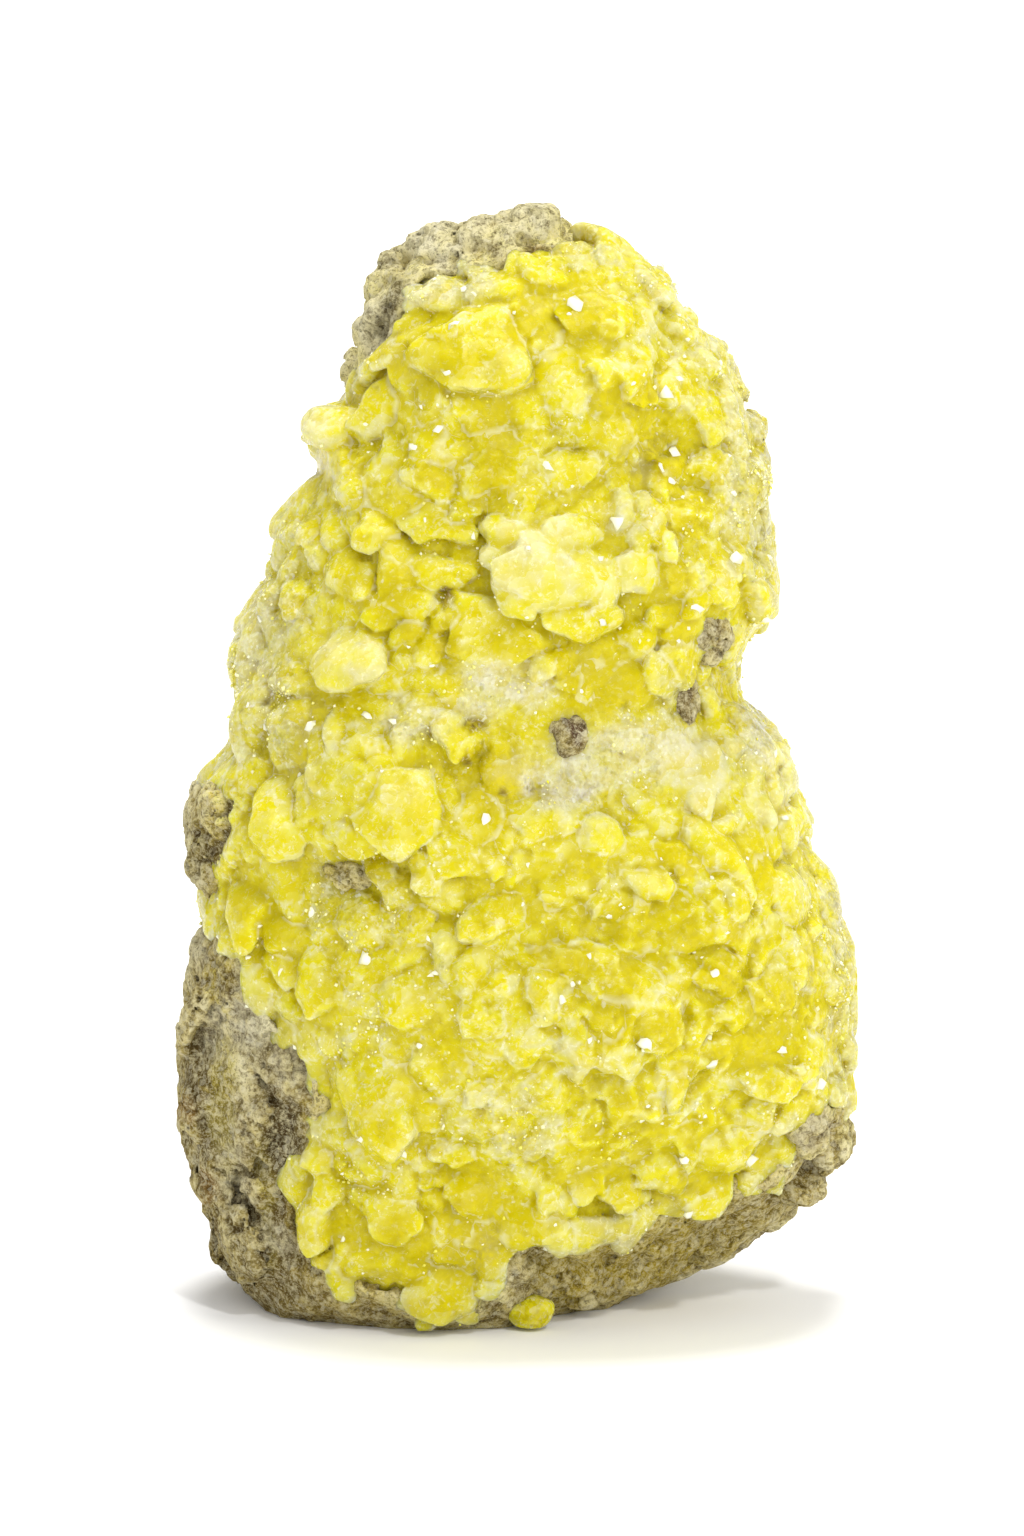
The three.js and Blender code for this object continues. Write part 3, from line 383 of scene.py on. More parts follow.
def smooth_min(a, b, reach):
    part = np.clip(0.5 + 0.5 * (b - a) / reach, 0, 1)
    return b + (a - b) * part - reach * part * (1 - part)


# The lump, as its solid is worked out

def make_reach():
    """Angles about the centre, in order, and the radius of the outline at each."""
    steps = 12
    points = np.array(OUTLINE)
    t = np.arange(steps)[:, None, None] / steps
    a, b, c, d = (np.roll(points, -k, axis=0)[None] for k in (-1, 0, 1, 2))
    curve = 0.5 * (2 * b + (c - a) * t + (2 * a - 5 * b + 4 * c - d) * t ** 2
                   + (3 * b - a - 3 * c + d) * t ** 3)
    away = curve.reshape(-1, 2) - (CENTRE_ACROSS, CENTRE_UP)
    angle = np.arctan2(away[:, 1], away[:, 0])
    order = np.argsort(angle)
    return angle[order], np.hypot(away[:, 0], away[:, 1])[order]


REACH_ANGLE, REACH_SIZE = make_reach()


def reach_at(angle):
    return np.interp(angle, REACH_ANGLE, REACH_SIZE, period=2 * math.pi)


def slant_at(angle):
    step = 0.12
    slope = (reach_at(angle + step) - reach_at(angle - step)) / (2 * step) / reach_at(angle)
    return np.minimum(np.hypot(1, slope), 1.6)


def taper_at(up):
    return 1 + (TOP_TAPER - 1) * smooth_step(TAPER_FROM, TAPER_TO, up)


def lean_at(up):
    return -(up - CENTRE_UP) * math.tan(FACE_LEAN) * BODY_LEAN


def to_world(places):
    """Places on the face plane, in millimetres, to the frame's metres."""
    across, up, into = places[:, 0], places[:, 1], places[:, 2]
    y = up * math.sin(FACE_LEAN) + into * math.cos(FACE_LEAN) - SHIFT_Y
    z = up * math.cos(FACE_LEAN) - (into - FOOT_INTO) * math.sin(FACE_LEAN)
    return np.stack([across - SHIFT_X, y, z], axis=1) * MM


def to_face(points):
    """Points of the frame, in metres, to places on the face plane."""
    x, y, z = (points / MM).T
    y = y + SHIFT_Y
    z = z - FOOT_INTO * math.sin(FACE_LEAN)
    up = y * math.sin(FACE_LEAN) + z * math.cos(FACE_LEAN)
    into = y * math.cos(FACE_LEAN) - z * math.sin(FACE_LEAN)
    return np.stack([x + SHIFT_X, up, into], axis=1)


def floor_height(up, into):
    return up * math.cos(FACE_LEAN) - (into - FOOT_INTO) * math.sin(FACE_LEAN)


def lump_size(x, y, depth):
    flat = np.hypot(x, y) / reach_at(np.arctan2(y, x))
    deep = np.abs(depth) / np.where(depth < 0, FRONT_DEPTH, BACK_DEPTH)
    total = (flat ** ROUNDNESS + deep ** ROUNDNESS) ** (BREAK_SHARPNESS / ROUNDNESS)
    for facing, away in BREAKS:
        nx, ny, nz = np.array(facing) / np.linalg.norm(facing)
        total = total + np.maximum((nx * x + ny * y + nz * depth) / away, 0) ** BREAK_SHARPNESS
    return total ** (1 / BREAK_SHARPNESS)


def settle(x, y, depth, inset):
    """Place on the lump, sunk by an inset, with the same place before the taper and the lean."""
    angle = np.arctan2(y, x)
    shrink = 1 - inset * slant_at(angle) / reach_at(angle)
    up = CENTRE_UP + y * shrink
    full = np.where(depth < 0, FRONT_DEPTH, BACK_DEPTH)
    into = depth * (taper_at(up) - inset / full) + lean_at(up)
    return np.array([CENTRE_ACROSS + x * shrink, up, into]), (x, y, depth)


def front_place(across, up, inset):
    angle = math.atan2(up - CENTRE_UP, across - CENTRE_ACROSS)
    shrink = 1 - inset * slant_at(angle) / reach_at(angle)
    x, y = (across - CENTRE_ACROSS) / shrink, (up - CENTRE_UP) / shrink
    near, far = -FRONT_DEPTH, 0.0
    for _ in range(24):
        middle = (near + far) / 2
        if lump_size(x, y, middle) > 1:
            near = middle
        else:
            far = middle
    return settle(x, y, far, inset)


def swollen_front(across, up, inset):
    """Place on the swollen front, sunk by an inset, and the way the lump faces there."""
    outer, (_, _, depth) = front_place(across, up, 0)
    place, plain = front_place(across, up, inset - body_swell(across, up, outer[2], depth))
    return place, facing_at(*plain)


def facing_at(x, y, depth):
    step = 0.5
    way = np.array([
        lump_size(x + step, y, depth) - lump_size(x - step, y, depth),
        lump_size(x, y + step, depth) - lump_size(x, y - step, depth),
        lump_size(x, y, depth + step) - lump_size(x, y, depth - step)])
    return way / np.linalg.norm(way)


def square_to_face(depth):
    return np.minimum(np.abs(depth) / np.where(depth < 0, FRONT_DEPTH, BACK_DEPTH), 1)


def make_relief(seed, wave_length, count):
    """Uneven swell and dips from a few crossed waves, about -2 to 2 in height."""
    draw = make_random(seed)
    waves = []
    for _ in range(count):
        turn = 2 * math.pi * next(draw)
        height = 2 * next(draw) - 1
        pitch = 2 * math.pi / (wave_length * (0.75 + 0.5 * next(draw)))
        side = math.sqrt(1 - height * height)
        waves.append((math.cos(turn) * side * pitch, math.sin(turn) * side * pitch, height * pitch,
                      2 * math.pi * next(draw)))

    def relief(across, up, into):
        total = sum(np.sin(px * across + py * up + pz * into + phase) for px, py, pz, phase in waves)
        return total / math.sqrt(count / 2)

    return relief


swell = make_relief(11, 34, 9)
lumps = make_relief(23, 14, 12)
knobs = make_relief(37, 7.5, 14)


def body_swell(across, up, into, depth):
    square = square_to_face(depth)
    uneven = 0.7 * swell(across, up, into) + 0.45 * lumps(across, up, into)
    placed = sum(height * np.exp(-((across - x) ** 2 + (up - y) ** 2) / radius ** 2)
                 for x, y, radius, height in SWELLS)
    return (0.25 + 0.75 * square) * uneven + np.where(depth < 0, square * placed, 0)


def inside_border(across, up):
    """Distance to the crust's edge on the face plane, positive where there is crust."""
    nearest = np.full(np.shape(across), np.inf)
    inside = np.zeros(np.shape(across), bool)
    for (ax, ay), (bx, by) in zip(CRUST_BORDER, CRUST_BORDER[1:] + CRUST_BORDER[:1]):
        length = (bx - ax) ** 2 + (by - ay) ** 2
        along = np.clip(((across - ax) * (bx - ax) + (up - ay) * (by - ay)) / length, 0, 1)
        apart = np.hypot(across - ax - along * (bx - ax), up - ay - along * (by - ay))
        nearest = np.minimum(nearest, apart)
        if ay != by:
            inside ^= ((ay > up) != (by > up)) & (across < ax + (bx - ax) * (up - ay) / (by - ay))
    return np.where(inside, nearest, -nearest)


def wrap_room(across, up, into, depth):
    """How far inside the edge that the crust has round the lump's sides a place is."""
    wrap = LEFT_WRAP + (RIGHT_WRAP - LEFT_WRAP) * smooth_step(-10, 10, across)
    return wrap + WRAP_WANDER * lumps(across, up, into) - depth


def flutes(across, up, into):
    """The upright grooves of the rock's left side, which fade out towards the back."""
    left = smooth_step(-12, -26, across) * smooth_step(70, 45, up) * smooth_step(10, 0, into)
    return left * np.sin((across + 0.5 * into) * 1.15 + 0.05 * up + lumps(0, up, 0))


def scatter_crystals():
    """The small crystals of the solids, from the same draws: place, facing, half width, half height, rise."""
    draw = make_random(5)
    placed = [(front_place(x, y, CRUST_LEVEL)[0], min(w, h)) for x, y, w, h, *_ in CRYSTALS]
    placed += [(front_place(x, y, CRUST_LEVEL)[0], max(w, h)) for x, y, w, h in ROCK_BITS]
    crystals = []
    for _ in range(SCATTER_TRIES):
        if len(crystals) == SCATTER_COUNT:
            break
        height = 2 * next(draw) - 1
        turn = 2 * math.pi * next(draw)
        side = math.sqrt(1 - height * height)
        radius = SCATTER_RADIUS[0] + (SCATTER_RADIUS[1] - SCATTER_RADIUS[0]) * next(draw)
        way = np.array([side * math.cos(turn), side * math.sin(turn), height]) * STRETCH
        way /= lump_size(*way)
        outer, (_, _, depth) = settle(*way, 0)
        cover = min(inside_border(outer[0], outer[1]), wrap_room(*outer, depth))
        if cover < SCATTER_COVER or square_to_face(depth) > 0.6 + 0.6 * next(draw):
            continue
        place, plain = settle(*way, CRUST_LEVEL - body_swell(*outer, depth))
        if any(np.linalg.norm(place - at) <= SCATTER_SPACING * (radius + r) for at, r in placed):
            continue
        placed.append((place, radius))
        tall = radius * (0.8 + 0.4 * next(draw))
        crystals.append((place, facing_at(*plain), radius, tall, 0.65 * radius))
    return crystals


# Fields on grids, and meshes from them

def grid_axes(step):
    return [np.arange(low, high, step, dtype=np.float32) for low, high in zip(GRID_LOW, GRID_HIGH)]


COARSE = grid_axes(COARSE_STEP)
FINE = grid_axes(FINE_STEP)


def resample(field, step, starts, axes, smooth=False):
    """A coarse field read on finer axes, one axis after another."""
    for axis, places in enumerate(axes):
        at = (places - starts[axis]) / step
        base = np.clip(np.floor(at).astype(int), 0, field.shape[axis] - 2)
        part = np.clip(at - base, 0, 1).astype(np.float32)
        if smooth:
            part = part * part * (3 - 2 * part)
        shape = [1, 1, 1]
        shape[axis] = len(places)
        low = np.take(field, base, axis=axis)
        field = low + (np.take(field, base + 1, axis=axis) - low) * part.reshape(shape)
    return field


def to_fine(field):
    return resample(field.astype(np.float32), COARSE_STEP, [ax[0] for ax in COARSE], FINE)


def noise(cell, seed):
    """Smooth random values from -1 to 1 on the fine grid, with a new value every cell millimetres."""
    random = np.random.default_rng(seed)
    counts = [int((ax[-1] - ax[0]) / cell) + 3 for ax in FINE]
    lattice = random.uniform(-1, 1, counts).astype(np.float32)
    return resample(lattice, cell, [ax[0] for ax in FINE], FINE, smooth=True)


def sample(field, places, axes=FINE, step=FINE_STEP):
    """A grid field read at scattered places."""
    at = (places - [ax[0] for ax in axes]) / step
    base = np.clip(np.floor(at).astype(int), 0, np.array(field.shape) - 2)
    part = np.clip(at - base, 0, 1).astype(np.float32)
    total = np.zeros(len(places), np.float32)
    for corner in range(8):
        offset = np.array([corner & 1, corner >> 1 & 1, corner >> 2])
        weight = np.prod(np.where(offset, part, 1 - part), axis=1)
        x, y, z = (base + offset).T
        total += weight * field[x, y, z]
    return total


def blur(field, reach):
    """Mean over a box of cells, along each axis in turn."""
    for axis in range(3):
        width = 2 * reach + 1
        pad = [(0, 0)] * 3
        pad[axis] = (reach + 1, reach)
        total = np.cumsum(np.pad(field, pad, mode="edge"), axis=axis, dtype=np.float32)
        count = field.shape[axis]
        high = np.take(total, np.arange(width, width + count), axis=axis)
        field = (high - np.take(total, np.arange(count), axis=axis)) / width
    return field


def scatter_numbers(cells, seed):
    """A fixed random number from 0 to 1 for each whole-numbered cell."""
    x, y, z = (cells[:, axis].astype(np.uint32) for axis in range(3))
    mixed = x * np.uint32(73856093) ^ y * np.uint32(19349663) ^ z * np.uint32(83492791)
    mixed ^= np.uint32(seed * 2654435761 % 4294967296)
    for shift, factor in ((16, 2246822507), (13, 3266489909), (16, 668265263)):
        mixed = (mixed ^ mixed >> np.uint32(shift)) * np.uint32(factor)
    return (mixed >> np.uint32(8)).astype(np.float32) / 16777216


def granules(places, size, seed):
    """The nearest of many scattered seeds: the way to it, as a share of their spacing, its cell, and how
    much further the next one is."""
    scaled = (places / size).astype(np.float32)
    base = np.floor(scaled).astype(np.int32)
    nearest = np.full(len(places), 9, np.float32)
    second = nearest.copy()
    way = np.zeros((len(places), 3), np.float32)
    own = base.copy()
    for corner in range(27):
        cell = base + (corner % 3 - 1, corner // 3 % 3 - 1, corner // 9 - 1)
        apart = np.stack([cell[:, axis] + scatter_numbers(cell, seed + axis) - scaled[:, axis]
                          for axis in range(3)], axis=1)
        distance = (apart ** 2).sum(axis=1)
        closer = distance < nearest
        second = np.where(closer, nearest, np.minimum(second, distance))
        nearest[closer] = distance[closer]
        way[closer] = apart[closer]
        own[closer] = cell[closer]
    return way, own, np.sqrt(second) - np.sqrt(nearest)


def granule_numbers(places, size, seed):
    """A random number from 0 to 1 for each place, the same all over a granule."""
    return scatter_numbers(granules(places, size, seed)[1], seed + 7)


def surface_net(field, axes, step):
    """Vertices and quads of the surface where a grid field is zero."""
    inside = field < 0
    corners = [(i, j, k) for i in (0, 1) for j in (0, 1) for k in (0, 1)]
    nx, ny, nz = (n - 1 for n in field.shape)
    count = np.zeros((nx, ny, nz), np.uint8)
    for i, j, k in corners:
        count += inside[i:i + nx, j:j + ny, k:k + nz]
    cells = np.argwhere((count > 0) & (count < 8))
    index = np.full((nx, ny, nz), -1, np.int32)
    index[tuple(cells.T)] = np.arange(len(cells))
    places = (cells + mean_crossing(field, cells, corners)) * step + [ax[0] for ax in axes]
    return places, np.concatenate([net_quads(inside, index, axis) for axis in range(3)])


def mean_crossing(field, cells, corners):
    """Where in each cell the field crosses zero, on average over the cell's edges."""
    total = np.zeros((len(cells), 3), np.float32)
    crossings = np.zeros(len(cells), np.float32)
    for start in corners:
        for axis in range(3):
            if start[axis]:
                continue
            end = np.array(start)
            end[axis] = 1
            a = field[tuple((cells + start).T)]
            b = field[tuple((cells + end).T)]
            cut = (a < 0) != (b < 0)
            spot = np.tile(np.array(start, np.float32), (len(cells), 1))
            spot[:, axis] += np.where(cut, a / np.where(cut, a - b, 1), 0)
            total += spot * cut[:, None]
            crossings += cut
    return total / crossings[:, None]


def net_quads(inside, index, axis):
    """A quad round each grid edge along an axis that the surface crosses."""
    first, second = [(1, 2), (2, 0), (0, 1)][axis]
    low = [slice(1, n - 1) for n in inside.shape]
    low[axis] = slice(0, inside.shape[axis] - 1)
    high = list(low)
    high[axis] = slice(1, inside.shape[axis])
    here, there = inside[tuple(low)], inside[tuple(high)]
    edges = np.argwhere(here != there)
    flip = there[tuple(edges.T)]
    base = edges + [0 if k == axis else 1 for k in range(3)]
    ring = []
    for da, db in ((-1, -1), (0, -1), (0, 0), (-1, 0)):
        cell = base.copy()
        cell[:, first] += da
        cell[:, second] += db
        ring.append(index[tuple(cell.T)])
    ring = np.stack(ring, axis=1)
    ring[flip] = ring[flip][:, ::-1]
    return ring


def largest_part(places, quads):
    """Only the biggest connected surface."""
    label = np.arange(len(places))
    edges = np.concatenate([quads[:, [0, 1]], quads[:, [1, 2]], quads[:, [2, 3]], quads[:, [3, 0]]])
    while True:
        before = label.copy()
        low = np.minimum(label[edges[:, 0]], label[edges[:, 1]])
        np.minimum.at(label, edges[:, 0], low)
        np.minimum.at(label, edges[:, 1], low)
        label = label[label]
        if (label == before).all():
            break
    keep = label == np.bincount(label).argmax()
    new = np.cumsum(keep) - 1
    return places[keep], new[quads[keep[quads[:, 0]]]]


def new_object(name, places, faces):
    """A mesh object from face plane places and faces that all have as many corners."""
    mesh = bpy.data.meshes.new(name)
    size = faces.shape[1]
    corners = to_world(places)
    corners[:, 2] = np.maximum(corners[:, 2], cad_box[0][2])
    mesh.vertices.add(len(places))
    mesh.vertices.foreach_set("co", corners.astype(np.float32).ravel())
    mesh.loops.add(faces.size)
    mesh.loops.foreach_set("vertex_index", faces.astype(np.int32).ravel())
    mesh.polygons.add(len(faces))
    mesh.polygons.foreach_set("loop_start", np.arange(0, faces.size, size, dtype=np.int32))
    mesh.update(calc_edges=True)
    mesh.validate()
    piece = bpy.data.objects.new(name, mesh)
    bpy.context.scene.collection.objects.link(piece)
    return piece


def vertex_places(piece):
    world = np.empty(len(piece.data.vertices) * 3, np.float32)
    piece.data.vertices.foreach_get("co", world)
    return to_face(world.reshape(-1, 3))


def thin_out(piece, most):
    """At most so many triangles, by collapsing the flattest places first."""
    triangles = 2 * len(piece.data.polygons)
    if triangles > most:
        modifier = piece.modifiers.new("thin", "DECIMATE")
        modifier.ratio = most / triangles
        depsgraph = bpy.context.evaluated_depsgraph_get()
        mesh = bpy.data.meshes.new_from_object(piece.evaluated_get(depsgraph))
        piece.modifiers.clear()
        old = piece.data
        piece.data = mesh
        bpy.data.meshes.remove(old)


def set_number(piece, name, values):
    layer = piece.data.attributes.new(name, "FLOAT", "POINT")
    layer.data.foreach_set("value", np.asarray(values, np.float32))


def set_paint(piece, colours):
    layer = piece.data.color_attributes.new("paint", "FLOAT_COLOR", "POINT")
    full = np.ones((len(colours), 4), np.float32)
    full[:, :3] = np.clip(colours, 0.004, 0.95)
    layer.data.foreach_set("color", full.ravel())


def blob(x, y, z, wide, tall, deep):
    """Distance to an ellipsoid, near enough close to its surface."""
    near = np.sqrt((x / wide) ** 2 + (y / tall) ** 2 + (z / deep) ** 2) + 1e-6
    slope = np.sqrt((x / wide ** 2) ** 2 + (y / tall ** 2) ** 2 + (z / deep ** 2) ** 2) + 1e-6
    return near * (near - 1) / slope


def angular_at(across, up):
    """1 where the crust is broken into angular cells, 0 elsewhere."""
    return np.minimum(sum(np.exp(-((across - x) / wide) ** 2 - ((up - y) / tall) ** 2)
                          for x, y, wide, tall in ANGULAR_PLACES), 1)


class Specimen:
    """The rock and the crust as distances on the fine grid, and what colours the crust's surface."""

    def __init__(self):
        self.make_body()
        self.make_rock()
        self.make_crust()

    def make_body(self):
        across, up, into = np.meshgrid(*COARSE, indexing="ij")
        depth = (into - lean_at(up)) / taper_at(up)
        size = lump_size(across - CENTRE_ACROSS, up - CENTRE_UP, depth)
        slope = np.sqrt(sum(part ** 2 for part in np.gradient(size, COARSE_STEP)))
        body = (size - 1) / slope - body_swell(across, up, into, depth)
        front = np.where(depth < 0, np.minimum(1, 2 * square_to_face(depth)), 0)
        self.coarse_body = body
        self.body = to_fine(body)
        self.right = to_fine(smooth_step(-4, 6, across) * smooth_step(40, 26, up) * front)
        self.flutes = to_fine(flutes(across, up, into))
        self.knobs = to_fine(knobs(across, up, into))
        room = wrap_room(across, up, into, depth)
        border = inside_border(*np.meshgrid(FINE[0], FINE[1], indexing="ij")).astype(np.float32)
        self.coarse_cover = np.minimum(inside_border(across[:, :, :1], up[:, :, :1]), room)
        self.cover = np.minimum(border[:, :, None], to_fine(room))
        self.cover += 1.1 * noise(4, 41) + 0.8 * noise(1.8, 42) + 0.4 * noise(0.8, 43)
        self.height = floor_height(FINE[1][None, :, None], FINE[2][None, None, :])
        self.sides = self.box_distance(*(axis.reshape(shape) for axis, shape in
                                         zip(FINE, ((-1, 1, 1), (1, -1, 1), (1, 1, -1)))))

    def box_distance(self, across, up, into):
        """How far outside the solids' box a place is, in millimetres, below 0 inside."""
        low, high = (np.array(corner) / MM for corner in cad_box)
        x = across - SHIFT_X
        y = up * math.sin(FACE_LEAN) + into * math.cos(FACE_LEAN) - SHIFT_Y
        z = floor_height(up, into)
        beyond = np.maximum(np.maximum(low[0] - x, x - high[0]), np.maximum(low[1] - y, y - high[1]))
        return np.maximum(beyond, z - high[2]) + BOX_ROOM

    def make_rock(self):
        self.bare = smooth_step(1, -1, self.cover)
        under = (CRUST_LEVEL + CRUST_THICKNESS) * smooth_step(-0.5, CRUST_EDGE, self.cover)
        recess = LEDGE_RECESS * self.right * smooth_step(0, -4, self.cover)
        dip = BORDER_DIP * smooth_step(-BORDER_WIDTH, 0, self.cover)
        bare = BARE_LEVEL + recess + dip - self.flutes - 0.4 * self.knobs
        rock = self.body + np.maximum(np.maximum(under, self.bare * bare), 0)
        rough = 0.6 * noise(4.5, 51) + 0.5 * noise(2.2, 52) + 0.3 * noise(1.1, 53)
        rock -= self.bare * rough
        self.exposed = self.bare.copy()
        self.add_rock_lumps(rock)
        self.roughen(rock, self.exposed, 2.1, 0.5, 54)
        self.roughen(rock, self.exposed, 0.95, 0.35, 58)
        rock += FOOT_UNDERCUT * smooth_step(FOOT_UNDERCUT_HEIGHT, 0, self.height) ** 2
        rock += BACK_SINK * smooth_step(6, 22, FINE[2])
        rock = np.maximum(rock, blur(np.clip(rock, -2, 2), 3) - THIN_BITS)
        self.rock = np.maximum(np.maximum(rock, -self.height), self.sides)

    def add_rock_lumps(self, rock):
        for across, up, wide, tall in ROCK_LUMPS:
            inset = LEDGE_RECESS if up < 14 and across > -2 else LUMP_INSET
            self.add_lump(rock, swollen_front(across, up, inset), wide, tall, 1)
        for across, up, wide, tall in ROCK_BITS:
            self.add_lump(rock, swollen_front(across, up, CRUST_LEVEL + CRUST_THICKNESS), wide, tall, 1.2)
            for x, y, share in BIT_PARTS:
                spot = swollen_front(across + x * wide, up + y * tall, CRUST_LEVEL - BIT_LIFT)
                self.add_lump(rock, spot, share * wide, share * tall, 1)

    def roughen(self, field, weight, size, amount, seed):
        """Granules with a tilted flat on each, where the weight asks for them."""
        where, places = self.near_surface(field, weight)
        way, cell, _ = granules(places, size, seed)
        tilt = np.stack([scatter_numbers(cell, seed + k) - 0.5 for k in (11, 12, 13)], axis=1)
        flat = 2.4 * (way * tilt).sum(axis=1) + 0.6 * (scatter_numbers(cell, seed + 14) - 0.5)
        field[where] -= amount * weight[where] * (0.3 - (way ** 2).sum(axis=1) + flat)

    def near_surface(self, field, weight):
        where = np.nonzero((np.abs(field) < 1) & (weight > 0.05))
        return where, np.stack([axis[index] for axis, index in zip(FINE, where)], axis=1)

    def wrinkle(self, weight, size, amount, seed):
        """Thin raised ridges between hollow cells."""
        where, places = self.near_surface(self.crust, weight)
        bent = places + np.stack([warp[where] for warp in self.warp], axis=1)
        way, _, gap = granules(bent, size, seed)
        ridge = smooth_step(RIDGE_WIDTH, 0, gap)
        self.crust[where] -= amount * weight[where] * (ridge + 0.5 * (way ** 2).sum(axis=1) - 0.35)
        self.ridge[where] = np.maximum(self.ridge[where], ridge * np.minimum(1.5 * weight[where], 1))

    def window(self, centre, reach):
        """Slices of the grid round a place, and how far each point there is from the place."""
        slices = []
        for axis, places in enumerate(FINE):
            low, high = np.searchsorted(places, [centre[axis] - reach, centre[axis] + reach])
            slices.append(slice(low, high))
        centre = centre.astype(np.float32)
        apart = [places[part] - centre[axis] for axis, (places, part) in enumerate(zip(FINE, slices))]
        return tuple(slices), np.meshgrid(*apart, indexing="ij")

    def add_lump(self, field, spot, wide, tall, rise):
        place, facing = spot
        deep = max(0.85 * math.sqrt(wide * tall), 0.9 * rise)
        where, (x, y, z) = self.window(place + facing * (rise - deep), max(wide, tall, deep) + 1.5)
        lump = blob(x, y, z, wide, tall, deep)
        field[where] = smooth_min(field[where], lump, LUMP_BLEND)
        self.exposed[where] = np.maximum(self.exposed[where], smooth_step(1, 0, lump))

    def make_crust(self):
        self.start_crust()
        placed = self.place_larger()
        self.fill(placed)
        self.break_up_crust()
        self.shape_only = self.crust.copy()
        self.crust = np.maximum(self.crust, -OVERLAP - self.rock)
        self.crust = np.maximum(np.maximum(self.crust, FLOOR_LIFT - self.height), self.sides)

    def start_crust(self):
        """The smooth skin that crystals stand on, and what is noted of the crystals in each place."""
        self.warp = [1.1 * noise(6, 61 + k) + 0.2 * noise(2.4, 71 + k) for k in range(3)]
        sunk = self.rock + CRUST_ROOT
        level = self.body + SKIN_LEVEL - SKIN_LIFT - 0.3 * noise(3, 81) - 0.12 * noise(1.3, 82)
        self.crust = sunk + (level - sunk) * smooth_step(0.3, 1.8, self.cover)
        self.first, self.second, self.second_rise = (self.even_field(FAR) for _ in range(3))
        self.first_rise, self.side = self.even_field(0), self.even_field(0)
        self.tone, self.grain = self.even_field(0.45), self.even_field(0.5)
        self.draw = np.random.default_rng(7)

    def even_field(self, value):
        return np.full(self.crust.shape, value, np.float32)

    def place_larger(self):
        """The named crystals and the strewn ones, with how much room each of them takes."""
        placed = []
        for across, up, wide, tall, rise, turn, tone, grain in CRYSTALS + SMALL_CRYSTALS:
            place, facing = swollen_front(across, up, CRUST_LEVEL)
            placed.append((place, NAMED_REACH * math.sqrt(wide * tall)))
            tone = 0.24 + 0.45 * tone
            self.add_crystal(place, facing, (wide, tall, rise), turn, tone, grain, 0.75 + 0.3 * grain)
        for place, facing, wide, tall, rise in scatter_crystals():
            placed.append((place, STREWN_REACH * wide))
            tone, grain = self.draw.uniform(0.25, 0.75), self.draw.uniform(0.1, 0.7)
            self.add_crystal(place, facing, (wide, tall, rise), 0, tone, grain, 0.7)
        return placed

    def break_up_crust(self):
        """Granules on the grainy crystals, and angular cells where the crust is broken."""
        across, up = np.meshgrid(FINE[0], FINE[1], indexing="ij")
        angular = angular_at(across, up)[:, :, None] * (1 - self.bare)
        weight = (0.25 + 0.75 * smooth_step(0.25, 0.95, self.grain)) * (1 - self.bare)
        self.roughen(self.crust, weight, 2.2, 0.22, 83)
        self.roughen(self.crust, weight, 1.1, 0.22, 87)
        self.ridge = self.even_field(0)
        self.wrinkle(angular, 5.2, 0.25, 91)
        self.wrinkle(angular, 2.4, 0.08, 94)

    def fill(self, placed):
        """Crystals of all sizes on what the larger ones leave free."""
        places, _ = surface_net(self.coarse_body + SKIN_LEVEL - FILL_LIFT, COARSE, COARSE_STEP)
        cover = sample(self.coarse_cover, places, COARSE, COARSE_STEP)
        kept = (cover > FILL_COVER) & (places[:, 1] > 1)
        places = places[kept]
        rim = smooth_step(3, 0.5, cover[kept])
        angular = angular_at(places[:, 0], places[:, 1])
        slopes = [sample(part, places, COARSE, COARSE_STEP) for part in np.gradient(self.coarse_body)]
        facing = np.stack(slopes, axis=1)
        facing /= np.linalg.norm(facing, axis=1)[:, None]
        placed += [(swollen_front(x, y, CRUST_LEVEL)[0], 1.6 * max(w, h)) for x, y, w, h in ROCK_BITS]
        taken = np.array([place for place, _ in placed])
        radii = np.array([radius for _, radius in placed])
        for index in self.draw.permutation(len(places)):
            share = self.draw.random() ** 1.4
            radius = FILL_RADIUS[0] + (FILL_RADIUS[1] - FILL_RADIUS[0]) * share
            radius *= (1 - 0.4 * rim[index]) * (1 + 0.2 * angular[index])
            apart = np.linalg.norm(taken - places[index], axis=1)
            if (apart < FILL_SPACING * (radii + radius)).any():
                continue
            taken = np.concatenate([taken, places[index][None]])
            radii = np.append(radii, radius)
            shape = (radius * self.draw.uniform(1, 1.5), radius * self.draw.uniform(0.8, 1.1),
                     0.95 + radius * self.draw.uniform(0.1, 0.28) + 0.3 * rim[index])
            tone, grain = self.draw.uniform(0.15, 0.85), 0.05 + 0.8 * self.draw.random() ** 1.6
            self.add_crystal(places[index], facing[index], shape, self.draw.uniform(0, 180), tone, grain,
                             0.7 + 0.7 * angular[index])

    def crystal_axes(self, facing, turn):
        """Axes of a crystal that tips a little, so its lower left edge stands proud of the crust."""
        tip = math.radians(self.draw.uniform(*CRYSTAL_TIP))
        sway = math.radians(PROUD_WAY + self.draw.uniform(-50, 50))
        proud = np.array([math.cos(sway), math.sin(sway), 0])
        short = facing * math.cos(tip) - proud * math.sin(tip)
        short /= np.linalg.norm(short)
        spin = math.radians(turn)
        long = np.array([math.cos(spin), math.sin(spin), 0])
        long -= short * (short @ long)
        long /= np.linalg.norm(long)
        return np.array([long, np.cross(short, long), short], np.float32)

